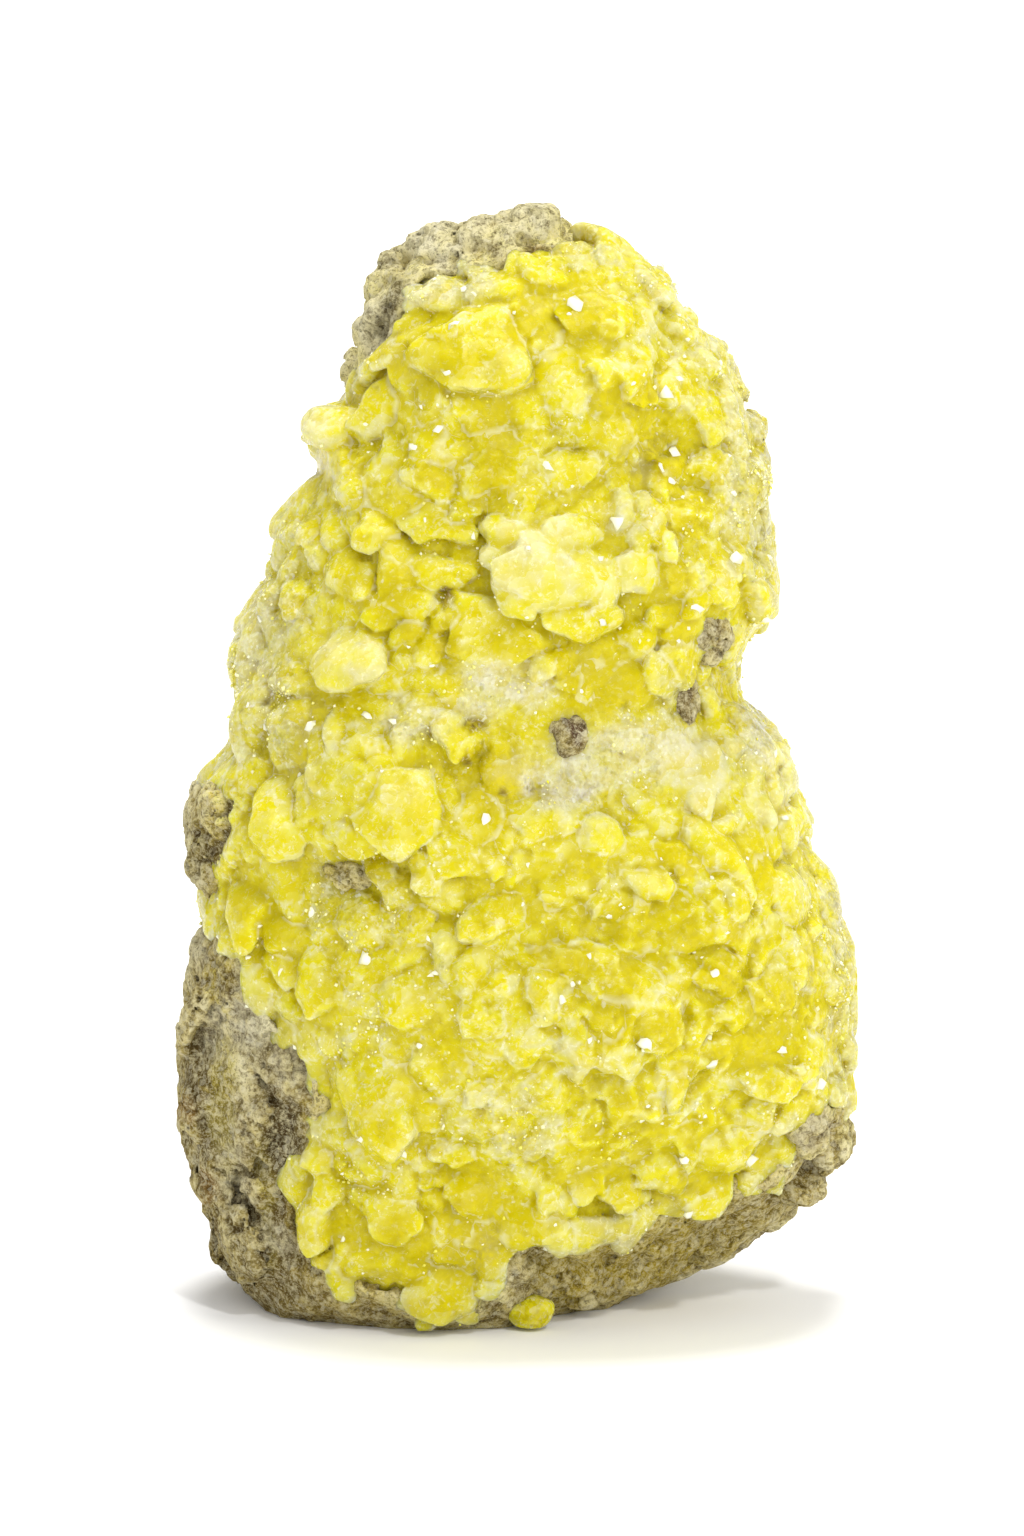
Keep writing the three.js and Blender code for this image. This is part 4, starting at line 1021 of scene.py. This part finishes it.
    def add_crystal(self, place, facing, shape, turn, tone, grain, rugged):
        """One crystal joined into the crust, with its tone and grain where it shows."""
        wide, tall, rise = shape
        rise *= 1 + (1 - FRONT_RISE) * min(facing[2], 0)
        deep = max(CRYSTAL_DEPTH * math.sqrt(wide * tall), 0.9 * rise)
        where, apart = self.window(place + facing * (rise - deep), max(wide, tall, deep) + 2)
        if apart[0].size == 0:
            return
        x, y, z = (part + warp[where] for part, warp in zip(apart, self.warp))
        x, y, z = (ax * x + ay * y + az * z for ax, ay, az in self.crystal_axes(facing, turn))
        # How far towards its lower left edge a place lies on the crystal; the paint makes that side paler, as
        # painted light.
        side = np.cos(math.radians(PROUD_WAY)) * x / wide + np.sin(math.radians(PROUD_WAY)) * y / tall
        crystal = self.crystal_form(x, y, z, (wide, tall, deep), rugged)
        joined = smooth_min(self.crust[where], crystal, CRYSTAL_BLEND)
        self.crust[where] = joined
        shown = smooth_step(0.25, -0.25, crystal - joined).astype(np.float32)
        for field, value in ((self.tone, tone), (self.grain, grain), (self.side, side)):
            field[where] += (value - field[where]) * shown
        self.rank_crystal(where, crystal, rise)

    def crystal_form(self, x, y, z, size, rugged):
        """Distance to an ellipsoid with an uneven outline and with flats on it."""
        wide, tall, _ = size
        round_way = np.arctan2(y / tall, x / wide)
        uneven = 1 + rugged * sum(share * np.sin(count * round_way + self.draw.uniform(0, 6.3))
                                  for count, share in OUTLINE_WAVES)
        x, y = x * uneven, y * uneven
        crystal = blob(x, y, z, *size)
        ways = self.draw.normal(size=(FLAT_COUNT, 3))
        ways /= np.linalg.norm(ways, axis=1)[:, None]
        lowest = 0.88 - 0.12 * rugged
        reach = np.linalg.norm(ways * size, axis=1) * self.draw.uniform(lowest, 1, FLAT_COUNT)
        for (wx, wy, wz), far in zip(ways.astype(np.float32), reach.astype(np.float32)):
            crystal = np.maximum(crystal, wx * x + wy * y + wz * z - far)
        return crystal

    def rank_crystal(self, where, crystal, rise):
        """Keeps the distances and the rises of the two nearest crystals, for the seams between them and the
        painted pale rim along the proud one's edge.
        """
        first, second = self.first[where], self.second[where]
        first_rise, second_rise = self.first_rise[where], self.second_rise[where]
        nearest = crystal < first
        self.second_rise[where] = np.where(nearest, first_rise, np.where(crystal < second, rise, second_rise))
        self.first_rise[where] = np.where(nearest, rise, first_rise)
        self.second[where] = np.where(nearest, first, np.minimum(second, crystal))
        self.first[where] = np.minimum(first, crystal)


# Paint

def soft_patch(places, wander, across, up, wide, tall):
    """1 inside a patch on the face, 0 outside, with an uneven edge."""
    x = (places[:, 0] + wander[0] - across) / wide
    y = (places[:, 1] + wander[1] - up) / tall
    return smooth_step(1.25, 0.55, np.hypot(x, y)) * (places[:, 2] < 6)


def wander_at(places):
    """Two uneven shifts for the edges of patches, and how much of a stain shows at each place."""
    across, up = (1.2 * sample(noise(3, seed), places) + 0.5 * sample(noise(1, seed + 5), places)
                  for seed in (91, 92))
    broken = sample(noise(1.3, 93), places) + 0.6 * sample(noise(0.6, 94), places)
    return across, up, 0.35 + 0.65 * smooth_step(-0.5, 0.4, broken)


def stain(colours, places, wander, stains):
    """Colours with stains on them, the wider ones broken up."""
    for across, up, wide, tall, strength, shade in stains:
        part = strength * soft_patch(places, wander, across, up, wide, tall)
        part = (part if wide < BROKEN_WIDTH else part * wander[2])[:, None]
        colours = colours + (linear(shade) - colours) * part
    return colours


def blend_shades(shades, level):
    """Colours along a row of shades, level 0 to 1."""
    stops = np.linspace(0, 1, len(shades))
    light = np.array([linear(shade) for shade in shades])
    return np.stack([np.interp(level, stops, light[:, channel]) for channel in range(3)], axis=1)


def slope_at(field, places):
    """Which way a grid field rises at scattered places."""
    ways = np.eye(3) * FINE_STEP
    slope = np.stack([sample(field, places + way) - sample(field, places - way) for way in ways], axis=1)
    return slope / (np.linalg.norm(slope, axis=1)[:, None] + 1e-6)


def alignment(field, other, places):
    """1 where two fields rise the same way, 0 where they rise at right angles."""
    return (slope_at(field, places) * slope_at(other, places)).sum(axis=1)


def patched(places, wander, specimen):
    """How white and how granular the crust is, with its patches."""
    grain = np.clip(sample(specimen.grain, places), 0, 1)
    white = sample(specimen.tone, places)
    for across, up, wide, tall, paler, rougher in CRUST_PATCHES:
        part = soft_patch(places, wander, across, up, wide, tall)
        white += paler * part
        grain += (rougher - grain) * part
    return white, grain


def standing_out(field, places, full):
    """How far places stand out from what is close by, and from a wider reach, -1.5 to 1.5 each. The
    heights that count as 1 are full and 0.5 mm."""
    close = np.clip(field, -2, 2)
    return [np.clip(sample(blur(close, cells), places) / height, -1.5, 1.5)
            for cells, height in ((2, full), (7, 0.5))]


def paint_crust(piece, specimen):
    places = vertex_places(piece)
    wander = wander_at(places)
    white, grain = patched(places, wander, specimen)
    edge, crest = standing_out(specimen.shape_only, places, 0.13)
    # The seam between two crystals, kept only on the side of the one that stands proud, where the shader
    # paints a pale rim as painted light.
    seam = sample(np.where(specimen.first < 0.5, np.clip(specimen.second - specimen.first, 0, 3), 3), places)
    seam += 3 * (sample(specimen.first_rise - specimen.second_rise, places) < 0)
    steep = 1 - alignment(specimen.crust, specimen.body, places)
    speck = granule_numbers(places, 2.4, 83)
    fine_speck = granule_numbers(places, 1.1, 87)
    uneven = sample(noise(5, 95), places) + 0.7 * sample(noise(1.8, 96), places)
    # Painted light: the level is paler where the crust stands out (a painted highlight), on each crystal's
    # lower left side and on steep flanks (a painted glow along the rims), on top of the crust's own
    # whiteness, tone and grain.
    level = (0.03 + 0.8 * white + 0.1 * np.maximum(edge, 0) + 0.14 * crest + 0.12 * uneven
             + 0.2 * np.clip(sample(specimen.side, places), -1, 1) + 0.3 * smooth_step(0.1, 0.5, steep)
             + grain * (0.2 * (speck - 0.5) + 0.3 * (fine_speck - 0.5)))
    ridge = sample(specimen.ridge, places)
    # The raised ridges of the angular cells are painted paler: partly their own pale lines, partly a painted
    # highlight along them.
    level += 0.45 * ridge * smooth_step(-0.6, 0.6, uneven)
    level = 0.4 + 1.5 * (level - 0.48)
    # Painted shade: the crust is darker, a deeper gold, in hollows and between crystals, where shade falls.
    level *= (1 - 0.85 * smooth_step(-0.1, -0.9, crest)) * (1 - 0.5 * smooth_step(-0.2, -1.2, edge))
    colours = blend_shades(SULFUR_SHADES, np.clip(level, 0, 1))
    near_rock = smooth_step(3.6, 0.2, sample(specimen.cover, places))
    dusty = (0.45 * near_rock * smooth_step(-0.5, 0.5, uneven))[:, None]
    colours += (linear(TAN) - colours) * dusty
    colours = stain(colours, places, wander, CRUST_STAINS)
    set_paint(piece, colours)
    set_number(piece, "grain", grain)
    set_number(piece, "seam", seam)
    # The level kept as "white" holds the painted light and shade as well as the crust's own whiteness.
    set_number(piece, "white", np.clip(level, 0, 1))


def paint_rock(piece, specimen):
    places = vertex_places(piece)
    wander = wander_at(places)
    # Edge and crest paint the rock paler where it stands out and darker in its hollows: painted highlight and
    # painted shade.
    edge, crest = standing_out(specimen.rock, places, 0.15)
    speck = granule_numbers(places, 2.1, 54)
    fine_speck = granule_numbers(places, 0.9, 58)
    broad = sample(noise(11, 97), places)
    uneven = sample(noise(4, 98), places) + 0.6 * sample(noise(1.6, 99), places)
    streak = sample(noise(2.4, 100), places * (1, 0.3, 1))
    # Painted light and shade: the rock is paler towards the top, where light falls from above, and darker low
    # on the left, which lies in shade.
    top = smooth_step(60, 105, places[:, 1])
    low = smooth_step(45, 5, places[:, 1]) * smooth_step(-10, -26, places[:, 0])
    level = (0.42 + 0.72 * top - 0.5 * low + 0.2 * edge + 0.2 * crest
             + 0.15 * uneven + 0.1 * broad + 0.4 * streak
             + 0.2 * (speck - 0.5) + 0.24 * (fine_speck - 0.5))
    colours = blend_shades(ROCK_SHADES, np.clip(level, 0, 1))
    cover = sample(specimen.cover, places)
    groove = smooth_step(0.2, -0.6, sample(specimen.flutes, places))
    yellow = (smooth_step(-6, 0.5, cover + 2 * uneven) * 0.45 + 0.2 * smooth_step(0.1, 0.9, broad)
              + 0.8 * groove * smooth_step(-0.5, 0.3, uneven))
    tinted = colours * (1.08, 1.04, 0.5)
    colours += (tinted - colours) * np.clip(yellow, 0, 1)[:, None]
    colours = stain(colours, places, wander, ROCK_STAINS)
    set_paint(piece, colours)


# Grains, and chips that are partly painted glints

def octahedron():
    corners = np.array([(1, 0, 0), (-1, 0, 0), (0, 1, 0), (0, -1, 0), (0, 0, 1), (0, 0, -1)], float)
    faces = np.array([(0, 2, 4), (2, 1, 4), (1, 3, 4), (3, 0, 4), (2, 0, 5), (1, 2, 5), (3, 1, 5), (0, 3, 5)])
    return corners, faces


def chip_form():
    """Corners and faces of a form with twenty sides, made uneven later as broken crystals are."""
    long = (1 + math.sqrt(5)) / 2
    corners = [np.roll((0, i, j * long), turn) for turn in range(3) for i in (-1, 1) for j in (-1, 1)]
    corners = np.array(corners) / math.hypot(1, long)
    faces = []
    for a in range(12):
        for b in range(a + 1, 12):
            for c in range(b + 1, 12):
                trio = corners[[a, b, c]]
                if np.linalg.norm(trio - np.roll(trio, 1, axis=0), axis=1).max() < 1.2:
                    outward = np.cross(trio[1] - trio[0], trio[2] - trio[0]) @ trio[0] > 0
                    faces.append((a, b, c) if outward else (a, c, b))
    return corners, np.array(faces)


def random_turns(count, draw):
    """Rotation matrices spread evenly over all turns."""
    q = draw.normal(size=(count, 4))
    w, x, y, z = (q / np.linalg.norm(q, axis=1)[:, None]).T
    return np.array([
        [1 - 2 * (y * y + z * z), 2 * (x * y - z * w), 2 * (x * z + y * w)],
        [2 * (x * y + z * w), 1 - 2 * (x * x + z * z), 2 * (y * z - x * w)],
        [2 * (x * z - y * w), 2 * (y * z + x * w), 1 - 2 * (x * x + y * y)]]).transpose(2, 0, 1)


def joined_grains(name, form, places, radii, colours, draw, unevenness=0.0):
    """One mesh of many small crystals, each turned and stretched its own way."""
    corners, faces = form
    stretch = draw.uniform(0.55, 1.3, (len(places), 1, 3))
    uneven = corners[None] + draw.normal(0, unevenness, (len(places), len(corners), 3))
    shapes = (uneven * stretch * radii[:, None, None]) @ random_turns(len(places), draw)
    every = (shapes + places[:, None]).reshape(-1, 3)
    offsets = np.arange(len(places))[:, None, None] * len(corners)
    piece = new_object(name, every, (faces[None] + offsets).reshape(-1, 3))
    set_paint(piece, np.repeat(colours, len(corners), axis=0))
    return piece


def outer_vertices(piece, specimen):
    """The crust's vertices on its outer side, clear of the floor and of the solids' box."""
    places = vertex_places(piece)
    outer = (sample(specimen.rock, places) > 0.7) & (floor_height(places[:, 1], places[:, 2]) > 1.2)
    outer &= specimen.box_distance(*places.T) < -0.9
    return places[outer]


def add_sulfur_grains(crust, specimen):
    draw = np.random.default_rng(21)
    places = outer_vertices(crust, specimen)
    _, grain = patched(places, wander_at(places), specimen)
    clump = smooth_step(0, 0.7, sample(noise(3, 22), places) + 0.5 * sample(noise(0.9, 23), places))
    weight = (0.04 + grain * grain) * (0.02 + clump * clump)
    picked = draw.choice(len(places), GRAIN_COUNT, replace=False, p=weight / weight.sum())
    radii = draw.uniform(0, 1, GRAIN_COUNT) ** 1.8 * (GRAIN_RADIUS[1] - GRAIN_RADIUS[0]) + GRAIN_RADIUS[0]
    # Grain shades run from pale yellow to near white; the whitest grains are partly a painted sparkle.
    shades = blend_shades([SULFUR_SHADES[3], CHIP_AND_GLINT_SHADE], draw.uniform(0, 1, GRAIN_COUNT))
    spots = places[picked] + draw.normal(0, 0.1, (GRAIN_COUNT, 3))
    return joined_grains("sulfur_grains", octahedron(), spots, radii, shades, draw)


# Chips at the listed places and strewn ones: white flakes that partly stand in for glints, as painted light.
def add_chips_and_glints(crust, specimen):
    draw = np.random.default_rng(31)
    places = outer_vertices(crust, specimen)
    spots, radii = [], []
    for across, up, radius in CHIPS_AND_GLINTS:
        near = places[np.hypot(places[:, 0] - across, places[:, 1] - up) < 0.8]
        if len(near):
            spots.append(near[near[:, 2].argmin()])
            radii.append(radius)
    picked = draw.choice(len(places), CHIP_AND_GLINT_COUNT, replace=False)
    spots = np.concatenate([np.array(spots), places[picked]])
    radii = np.append(radii, draw.uniform(0, 1, CHIP_AND_GLINT_COUNT) ** 2 * (CHIP_AND_GLINT_RADIUS[1] - CHIP_AND_GLINT_RADIUS[0])
                      + CHIP_AND_GLINT_RADIUS[0])
    spots[:, 2] += 0.5 * radii
    colours = linear(CHIP_AND_GLINT_SHADE) * draw.uniform(0.9, 1, (len(spots), 1))
    return joined_grains("sulfur_chips_and_glints", chip_form(), spots, radii, colours, draw, CHIP_AND_GLINT_UNEVENNESS)


# Materials

class Shade:
    """A material: its nodes, its shader, and the colour that it has so far, at first the piece's paint."""

    def __init__(self, name, colour=None):
        self.material = bpy.data.materials.new(name)
        self.material.use_nodes = True
        self.tree = self.material.node_tree
        self.shader = self.tree.nodes["Principled BSDF"]
        self.colour = colour or self.attribute("paint", "Color")

    @functools.cached_property
    def place(self):
        return self.add("TexCoord").outputs["Object"]

    def join(self, node, inputs):
        """Inputs set to numbers or joined to other nodes' outputs."""
        for name, value in inputs.items():
            if isinstance(value, bpy.types.NodeSocket):
                self.tree.links.new(value, node.inputs[name])
            else:
                node.inputs[name].default_value = value

    def add(self, kind, inputs=None, **settings):
        made = self.tree.nodes.new("ShaderNode" + kind)
        for name, value in settings.items():
            setattr(made, name, value)
        self.join(made, inputs or {})
        return made

    def attribute(self, name, output="Fac"):
        return self.add("Attribute", attribute_name=name).outputs[output]

    def math(self, operation, a, b=0.0):
        return self.add("Math", {0: a, 1: b}, operation=operation).outputs[0]

    def vector(self, operation, inputs, output="Vector"):
        return self.add("VectorMath", inputs, operation=operation).outputs[output]

    def times(self, first, *others):
        for other in others:
            first = self.math("MULTIPLY", first, other)
        return first

    def most(self, first, *others):
        for other in others:
            first = self.math("MAXIMUM", first, other)
        return first

    def spread(self, value, low, high, to_low=0.0, to_high=1.0):
        """A value from low to high mapped to another range, clamped."""
        inputs = {"Value": value, "From Min": low, "From Max": high, "To Min": to_low, "To Max": to_high}
        return self.add("MapRange", inputs).outputs["Result"]

    def mix(self, factor, colour, blend="MIX"):
        """The colour so far mixed with another one."""
        inputs = {0: factor, 6: self.colour, 7: (*colour, 1)}
        self.colour = self.add("Mix", inputs, data_type="RGBA", blend_type=blend).outputs[2]

    def tint(self, shade, *factors):
        """A shade laid over the colour so far, as strong as all its factors together."""
        self.mix(self.times(*factors), linear(shade))

    def noise(self, size_mm, detail=2, distortion=0.0, roughness=0.6):
        inputs = {"Vector": self.place, "Scale": 1 / (size_mm * MM), "Detail": detail,
                  "Distortion": distortion, "Roughness": roughness}
        return self.add("TexNoise", inputs).outputs["Fac"]

    def vein(self, size_mm, distortion):
        """0 along winding lines, more away from them."""
        return self.math("ABSOLUTE", self.math("SUBTRACT", self.noise(size_mm, 2, distortion), 0.5))

    def cells(self, size_mm, place, **settings):
        return self.add("TexVoronoi", {"Vector": place, "Scale": 1 / (size_mm * MM)}, **settings).outputs

    def facets(self, size_mm, place=None):
        """Small flats: a random number for each, and a tilt for its surface."""
        colour = self.cells(size_mm, place or self.place)["Color"]
        number = self.add("SeparateColor", {"Color": colour}).outputs["Red"]
        return number, self.vector("SUBTRACT", {0: colour, 1: (0.5, 0.5, 0.5)})

    def crystal_cells(self, size_mm, bend_mm):
        """Larger bent flats: a number and a tilt for each, how far towards its upper left end a place is, for
        painted light and shade, and its edges.
        """
        size = size_mm * MM
        bend = self.add("TexNoise", {"Vector": self.place, "Scale": 1 / size, "Detail": 2}).outputs["Color"]
        bend = self.vector("SUBTRACT", {0: bend, 1: (0.5, 0.5, 0.5)})
        bend = self.vector("SCALE", {0: bend, "Scale": bend_mm * MM})
        bent = self.vector("ADD", {0: self.place, 1: bend})
        number, tilt = self.facets(size_mm, bent)
        apart = self.vector("SUBTRACT", {0: bent, 1: self.cells(size_mm, bent)["Position"]})
        end = self.vector("DOT_PRODUCT", {0: apart, 1: (-0.5, 0, 0.8)}, "Value")
        edge = self.cells(size_mm, bent, feature="DISTANCE_TO_EDGE")["Distance"]
        return number, tilt, self.spread(end, -0.5 * size, 0.5 * size), edge

    def finish(self, inputs):
        self.join(self.shader, {"Base Color": self.colour, **inputs})
        return self.material

    def relief(self, height, strength, depth_mm, tilts):
        """A bump's normal, turned by each tilt times its share."""
        bump = self.add("Bump", {"Height": height, "Strength": strength, "Distance": depth_mm * MM})
        normal = bump.outputs["Normal"]
        for tilt, share in tilts:
            normal = self.vector("ADD", {0: normal, 1: self.vector("SCALE", {0: tilt, "Scale": share})})
        return self.vector("NORMALIZE", {0: normal})


def sulfur_material():
    shade = Shade("sulfur")
    amount = shade.spread(shade.attribute("grain"), 0.1, 0.9, 0.12, 1)
    white = shade.spread(shade.attribute("white"), 0.05, 0.55, 0.1, 1)
    mottle = shade.noise(0.55, detail=3)
    cloud = shade.noise(2.2, detail=4, distortion=1.2)
    shade.tint((248, 244, 200), 0.5, shade.spread(mottle, 0.55, 0.8), amount, white)
    shade.tint((202, 182, 28), 0.55, shade.spread(mottle, 0.45, 0.2), amount)
    shade.tint((240, 234, 180), 0.5, shade.spread(cloud, 0.54, 0.74), white)
    shade.tint((232, 216, 6), shade.spread(cloud, 0.5, 0.34), shade.spread(white, 0, 1, 0.9, 0.35))
    flat_tilts = tint_flats(shade, cloud, amount, white)
    part_tilts = tint_parts(shade, mottle, cloud, white)
    shade.mix(1, (0.76, 0.76, 0.76), "MULTIPLY")
    height = shade.math("ADD", shade.times(mottle, amount), shade.times(shade.noise(0.22), 0.35))
    return shade.finish({
        "Specular IOR Level": 0.13, "Subsurface Weight": 0.7, "Subsurface Radius": (1, 0.9, 0.2),
        "Subsurface Scale": 3.6 * MM, "Roughness": shade.spread(mottle, 0.35, 0.65, 0.08, 0.3),
        "Normal": shade.relief(height, 0.6, 0.25, flat_tilts + part_tilts)})


def tint_flats(shade, cloud, amount, white):
    """Small flats, pale, deep or with a painted glint, the more the grainier the crust is."""
    flat, tilt = shade.facets(0.75)
    small, small_tilt = shade.facets(0.35)
    shade.tint((247, 241, 190), 0.35, shade.spread(flat, 0.6, 1), amount, white)
    shade.tint((212, 194, 30), 0.3, shade.spread(small, 0.4, 0), amount)
    # Painted glints: near-white specks on a few small flats.
    shade.tint((253, 251, 225), 0.85, shade.spread(small, 0.9, 0.96), shade.spread(cloud, 0.48, 0.6),
               shade.spread(amount, 0, 1, 0.25, 1))
    share = shade.times(amount, 0.7)
    return [(tilt, share), (small_tilt, share)]


def tint_parts(shade, mottle, cloud, white):
    """Parts and slivers inside the crystals, paler towards their upper left end and more golden towards the
    lower right as painted light and shade, with pale lines between them and a painted pale rim along the
    crystals' seams.
    """
    part, part_tilt, part_lit_end, part_edge = shade.crystal_cells(3.2, 3)
    sliver, sliver_tilt, sliver_lit_end, sliver_edge = shade.crystal_cells(1.3, 1.4)
    # Painted light and shade: each part is paler at its upper left end and golden at its lower right one.
    shade.tint((240, 234, 160), 0.7, shade.spread(part_lit_end, 0.4, 1), shade.spread(part, 0.2, 1), white)
    shade.tint((227, 210, 0), 0.7, shade.spread(part_lit_end, 0.55, 0), shade.spread(part, 0.9, 0.2))
    shade.tint((243, 238, 190), 0.7, shade.spread(sliver_lit_end, 0.5, 1), shade.spread(sliver, 0.5, 1), white)
    seam = shade.attribute("seam")
    # Painted light: a pale rim along the seam on the proud crystal's edge, where light glows through it.
    shade.tint((251, 248, 205), 0.5, shade.spread(seam, 0.08, 0.25), shade.spread(seam, 0.6, 0.3),
               shade.spread(shade.noise(2.2), 0.4, 0.5))
    line = shade.most(
        shade.spread(shade.vein(2.6, 0.8), 0.022, 0.004),
        shade.spread(shade.vein(1.1, 1.5), 0.03, 0.006, 0, 0.7),
        shade.times(shade.spread(part_edge, 0.035, 0.012), shade.spread(cloud, 0.46, 0.56)),
        shade.times(shade.spread(sliver_edge, 0.06, 0.02), shade.spread(cloud, 0.54, 0.64)))
    shade.tint((250, 247, 205), 0.7, line, shade.spread(mottle, 0.48, 0.6),
               shade.spread(white, 0.1, 0.7, 0.25, 1))
    return [(part_tilt, 0.45), (sliver_tilt, 0.4)]


# A plain glossy material for the grains and chips, whose near-white paint is partly painted glints.
def chip_and_glint_material():
    return Shade("sulfur_chips_and_glints").finish({"Roughness": 0.2})


def rock_material():
    shade = Shade("host_rock")
    mottle = shade.noise(0.9, detail=5, roughness=0.75)
    fine = shade.noise(0.35, detail=3, roughness=0.8)
    number, tilt = shade.facets(0.6)
    shade.tint((232, 222, 180), 0.65, shade.spread(mottle, 0.5, 0.62))
    shade.tint((86, 68, 34), 0.7, shade.spread(mottle, 0.48, 0.37))
    shade.tint((104, 90, 56), 0.5, shade.spread(number, 0.3, 0))
    shade.tint((232, 226, 200), 0.5, shade.spread(number, 0.75, 1))
    shade.tint((240, 230, 190), 0.5, shade.spread(fine, 0.5, 0.62))
    shade.tint((96, 78, 40), 0.55, shade.spread(fine, 0.46, 0.36))
    shade.mix(1, (0.76, 0.75, 0.69), "MULTIPLY")
    height = shade.math("ADD", mottle, shade.times(fine, 0.5))
    return shade.finish({"Roughness": 0.9, "Specular IOR Level": 0.1,
                         "Normal": shade.relief(height, 0.8, 0.4, [(tilt, 0.5)])})


def floor_material():
    return Shade("floor", (0.97, 0.97, 0.97, 1)).finish({"Roughness": 0.9})


# Pieces

def finish_piece(piece, material, node, smooth=True):
    piece.data.materials.append(material)
    if smooth:
        piece.data.shade_smooth()
    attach(piece, "root")
    if node:
        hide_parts(node)


def make_piece(name, field):
    places, quads = largest_part(*surface_net(field, FINE, FINE_STEP))
    piece = new_object(name, places, quads)
    thin_out(piece, MOST_TRIANGLES)
    return piece


def make_foot_crystal(specimen):
    across, up, wide, tall, rise, _ = FOOT_CRYSTAL
    place, facing = swollen_front(across, up, FOOT_CRYSTAL_INSET)
    deep = max(0.85 * math.sqrt(wide * tall), 0.9 * rise)
    where, (x, y, z) = specimen.window(place + facing * (rise - deep), 5)
    knob = blob(x, y, z, wide, tall, deep) - 0.35 * noise(1.6, 14)[where] - 0.2 * noise(0.8, 15)[where]
    knob = np.maximum(knob, -OVERLAP - specimen.rock[where])
    knob = np.maximum(knob, FLOOR_LIFT - specimen.height[:, where[1], where[2]])
    axes = [axis[part] for axis, part in zip(FINE, where)]
    places, quads = largest_part(*surface_net(knob, axes, FINE_STEP))
    piece = new_object("foot_crystal_surface", places, quads)
    speck = granule_numbers(places, 0.9, 16)
    set_paint(piece, blend_shades(SULFUR_SHADES, np.clip(0.25 + 0.35 * speck, 0, 1)))
    set_number(piece, "grain", np.full(len(places), 0.8))
    set_number(piece, "seam", np.full(len(places), 3))
    set_number(piece, "white", np.full(len(places), 0.3))
    return piece


def make_pieces():
    specimen = Specimen()
    sulfur = sulfur_material()
    rock = make_piece("host_rock_surface", specimen.rock)
    crust = make_piece("sulfur_crust_surface", specimen.crust)
    paint_rock(rock, specimen)
    paint_crust(crust, specimen)
    finish_piece(rock, rock_material(), "host_rock")
    finish_piece(crust, sulfur, "sulfur_crust")
    finish_piece(make_foot_crystal(specimen), sulfur, "foot_crystal")
    glint_chip_material = chip_and_glint_material()
    finish_piece(add_sulfur_grains(crust, specimen), glint_chip_material, None)
    finish_piece(add_chips_and_glints(crust, specimen), glint_chip_material, None, smooth=False)


# Floor, light and camera

PHOTO_WIDTH = 1024
PHOTO_HEIGHT = 1536
PIXELS_PER_MM = 9.5
FACE_ORIGIN_X = 514.5
FACE_ORIGIN_Y = 1340
CAMERA_AWAY = 1800
FACE_PLANE_INTO = -12
SENSOR = 36
LIGHT_AIM = (0, 0, 0.06)


def add_floor():
    bpy.ops.mesh.primitive_circle_add(vertices=96, radius=6, fill_type="NGON", location=(0, 0, 0))
    floor = bpy.context.object
    floor.name = "floor"
    floor.data.materials.append(floor_material())


def new_light(name, kind, strength):
    data = bpy.data.lights.new(name, kind)
    data.energy = strength
    light = bpy.data.objects.new(name, data)
    bpy.context.scene.collection.objects.link(light)
    return light


def add_light(name, place, size, power):
    """A square light in watts, aimed at the specimen."""
    light = new_light(name, "AREA", power)
    light.data.size = size
    light.location = place
    way = Vector(LIGHT_AIM) - Vector(place)
    light.rotation_euler = way.to_track_quat("-Z", "Y").to_euler()


def add_sun(name, elevation, azimuth, softness, strength):
    """A distant soft light, at an azimuth of 0 from behind the camera and 180 from behind the object."""
    light = new_light(name, "SUN", strength)
    light.data.angle = math.radians(softness)
    light.rotation_euler = (math.radians(90 - elevation), 0, math.radians(azimuth))


def add_world(strength):
    world = bpy.data.worlds.new("studio")
    bpy.context.scene.world = world
    world.use_nodes = True
    background = world.node_tree.nodes["Background"]
    background.inputs["Color"].default_value = (1, 1, 1, 1)
    background.inputs["Strength"].default_value = strength


def add_camera():
    data = bpy.data.cameras.new("camera")
    camera = bpy.data.objects.new("camera", data)
    bpy.context.scene.collection.objects.link(camera)
    bpy.context.scene.camera = camera
    across = (PHOTO_WIDTH / 2 - FACE_ORIGIN_X) / PIXELS_PER_MM
    up = (FACE_ORIGIN_Y - PHOTO_HEIGHT / 2) / PIXELS_PER_MM
    camera.location = to_world(np.array([[across, up, FACE_PLANE_INTO - CAMERA_AWAY]]))[0]
    camera.rotation_euler = (math.pi / 2 - FACE_LEAN, 0, 0)
    data.sensor_width = SENSOR
    data.lens = SENSOR * CAMERA_AWAY * PIXELS_PER_MM / PHOTO_HEIGHT
    data.clip_end = 20


make_pieces()
add_floor()
add_world(strength=0.72)
add_sun("overhead", elevation=78, azimuth=180, softness=22, strength=2.1)
add_light("front", place=(0.4, -1, 0.55), size=0.6, power=2.4)
add_light("side", place=(0.8, -0.6, 0.5), size=0.1, power=1)
add_sun("glints", elevation=48, azimuth=25, softness=5, strength=0.8)
add_camera()
bpy.context.scene.view_settings.view_transform = "Standard"
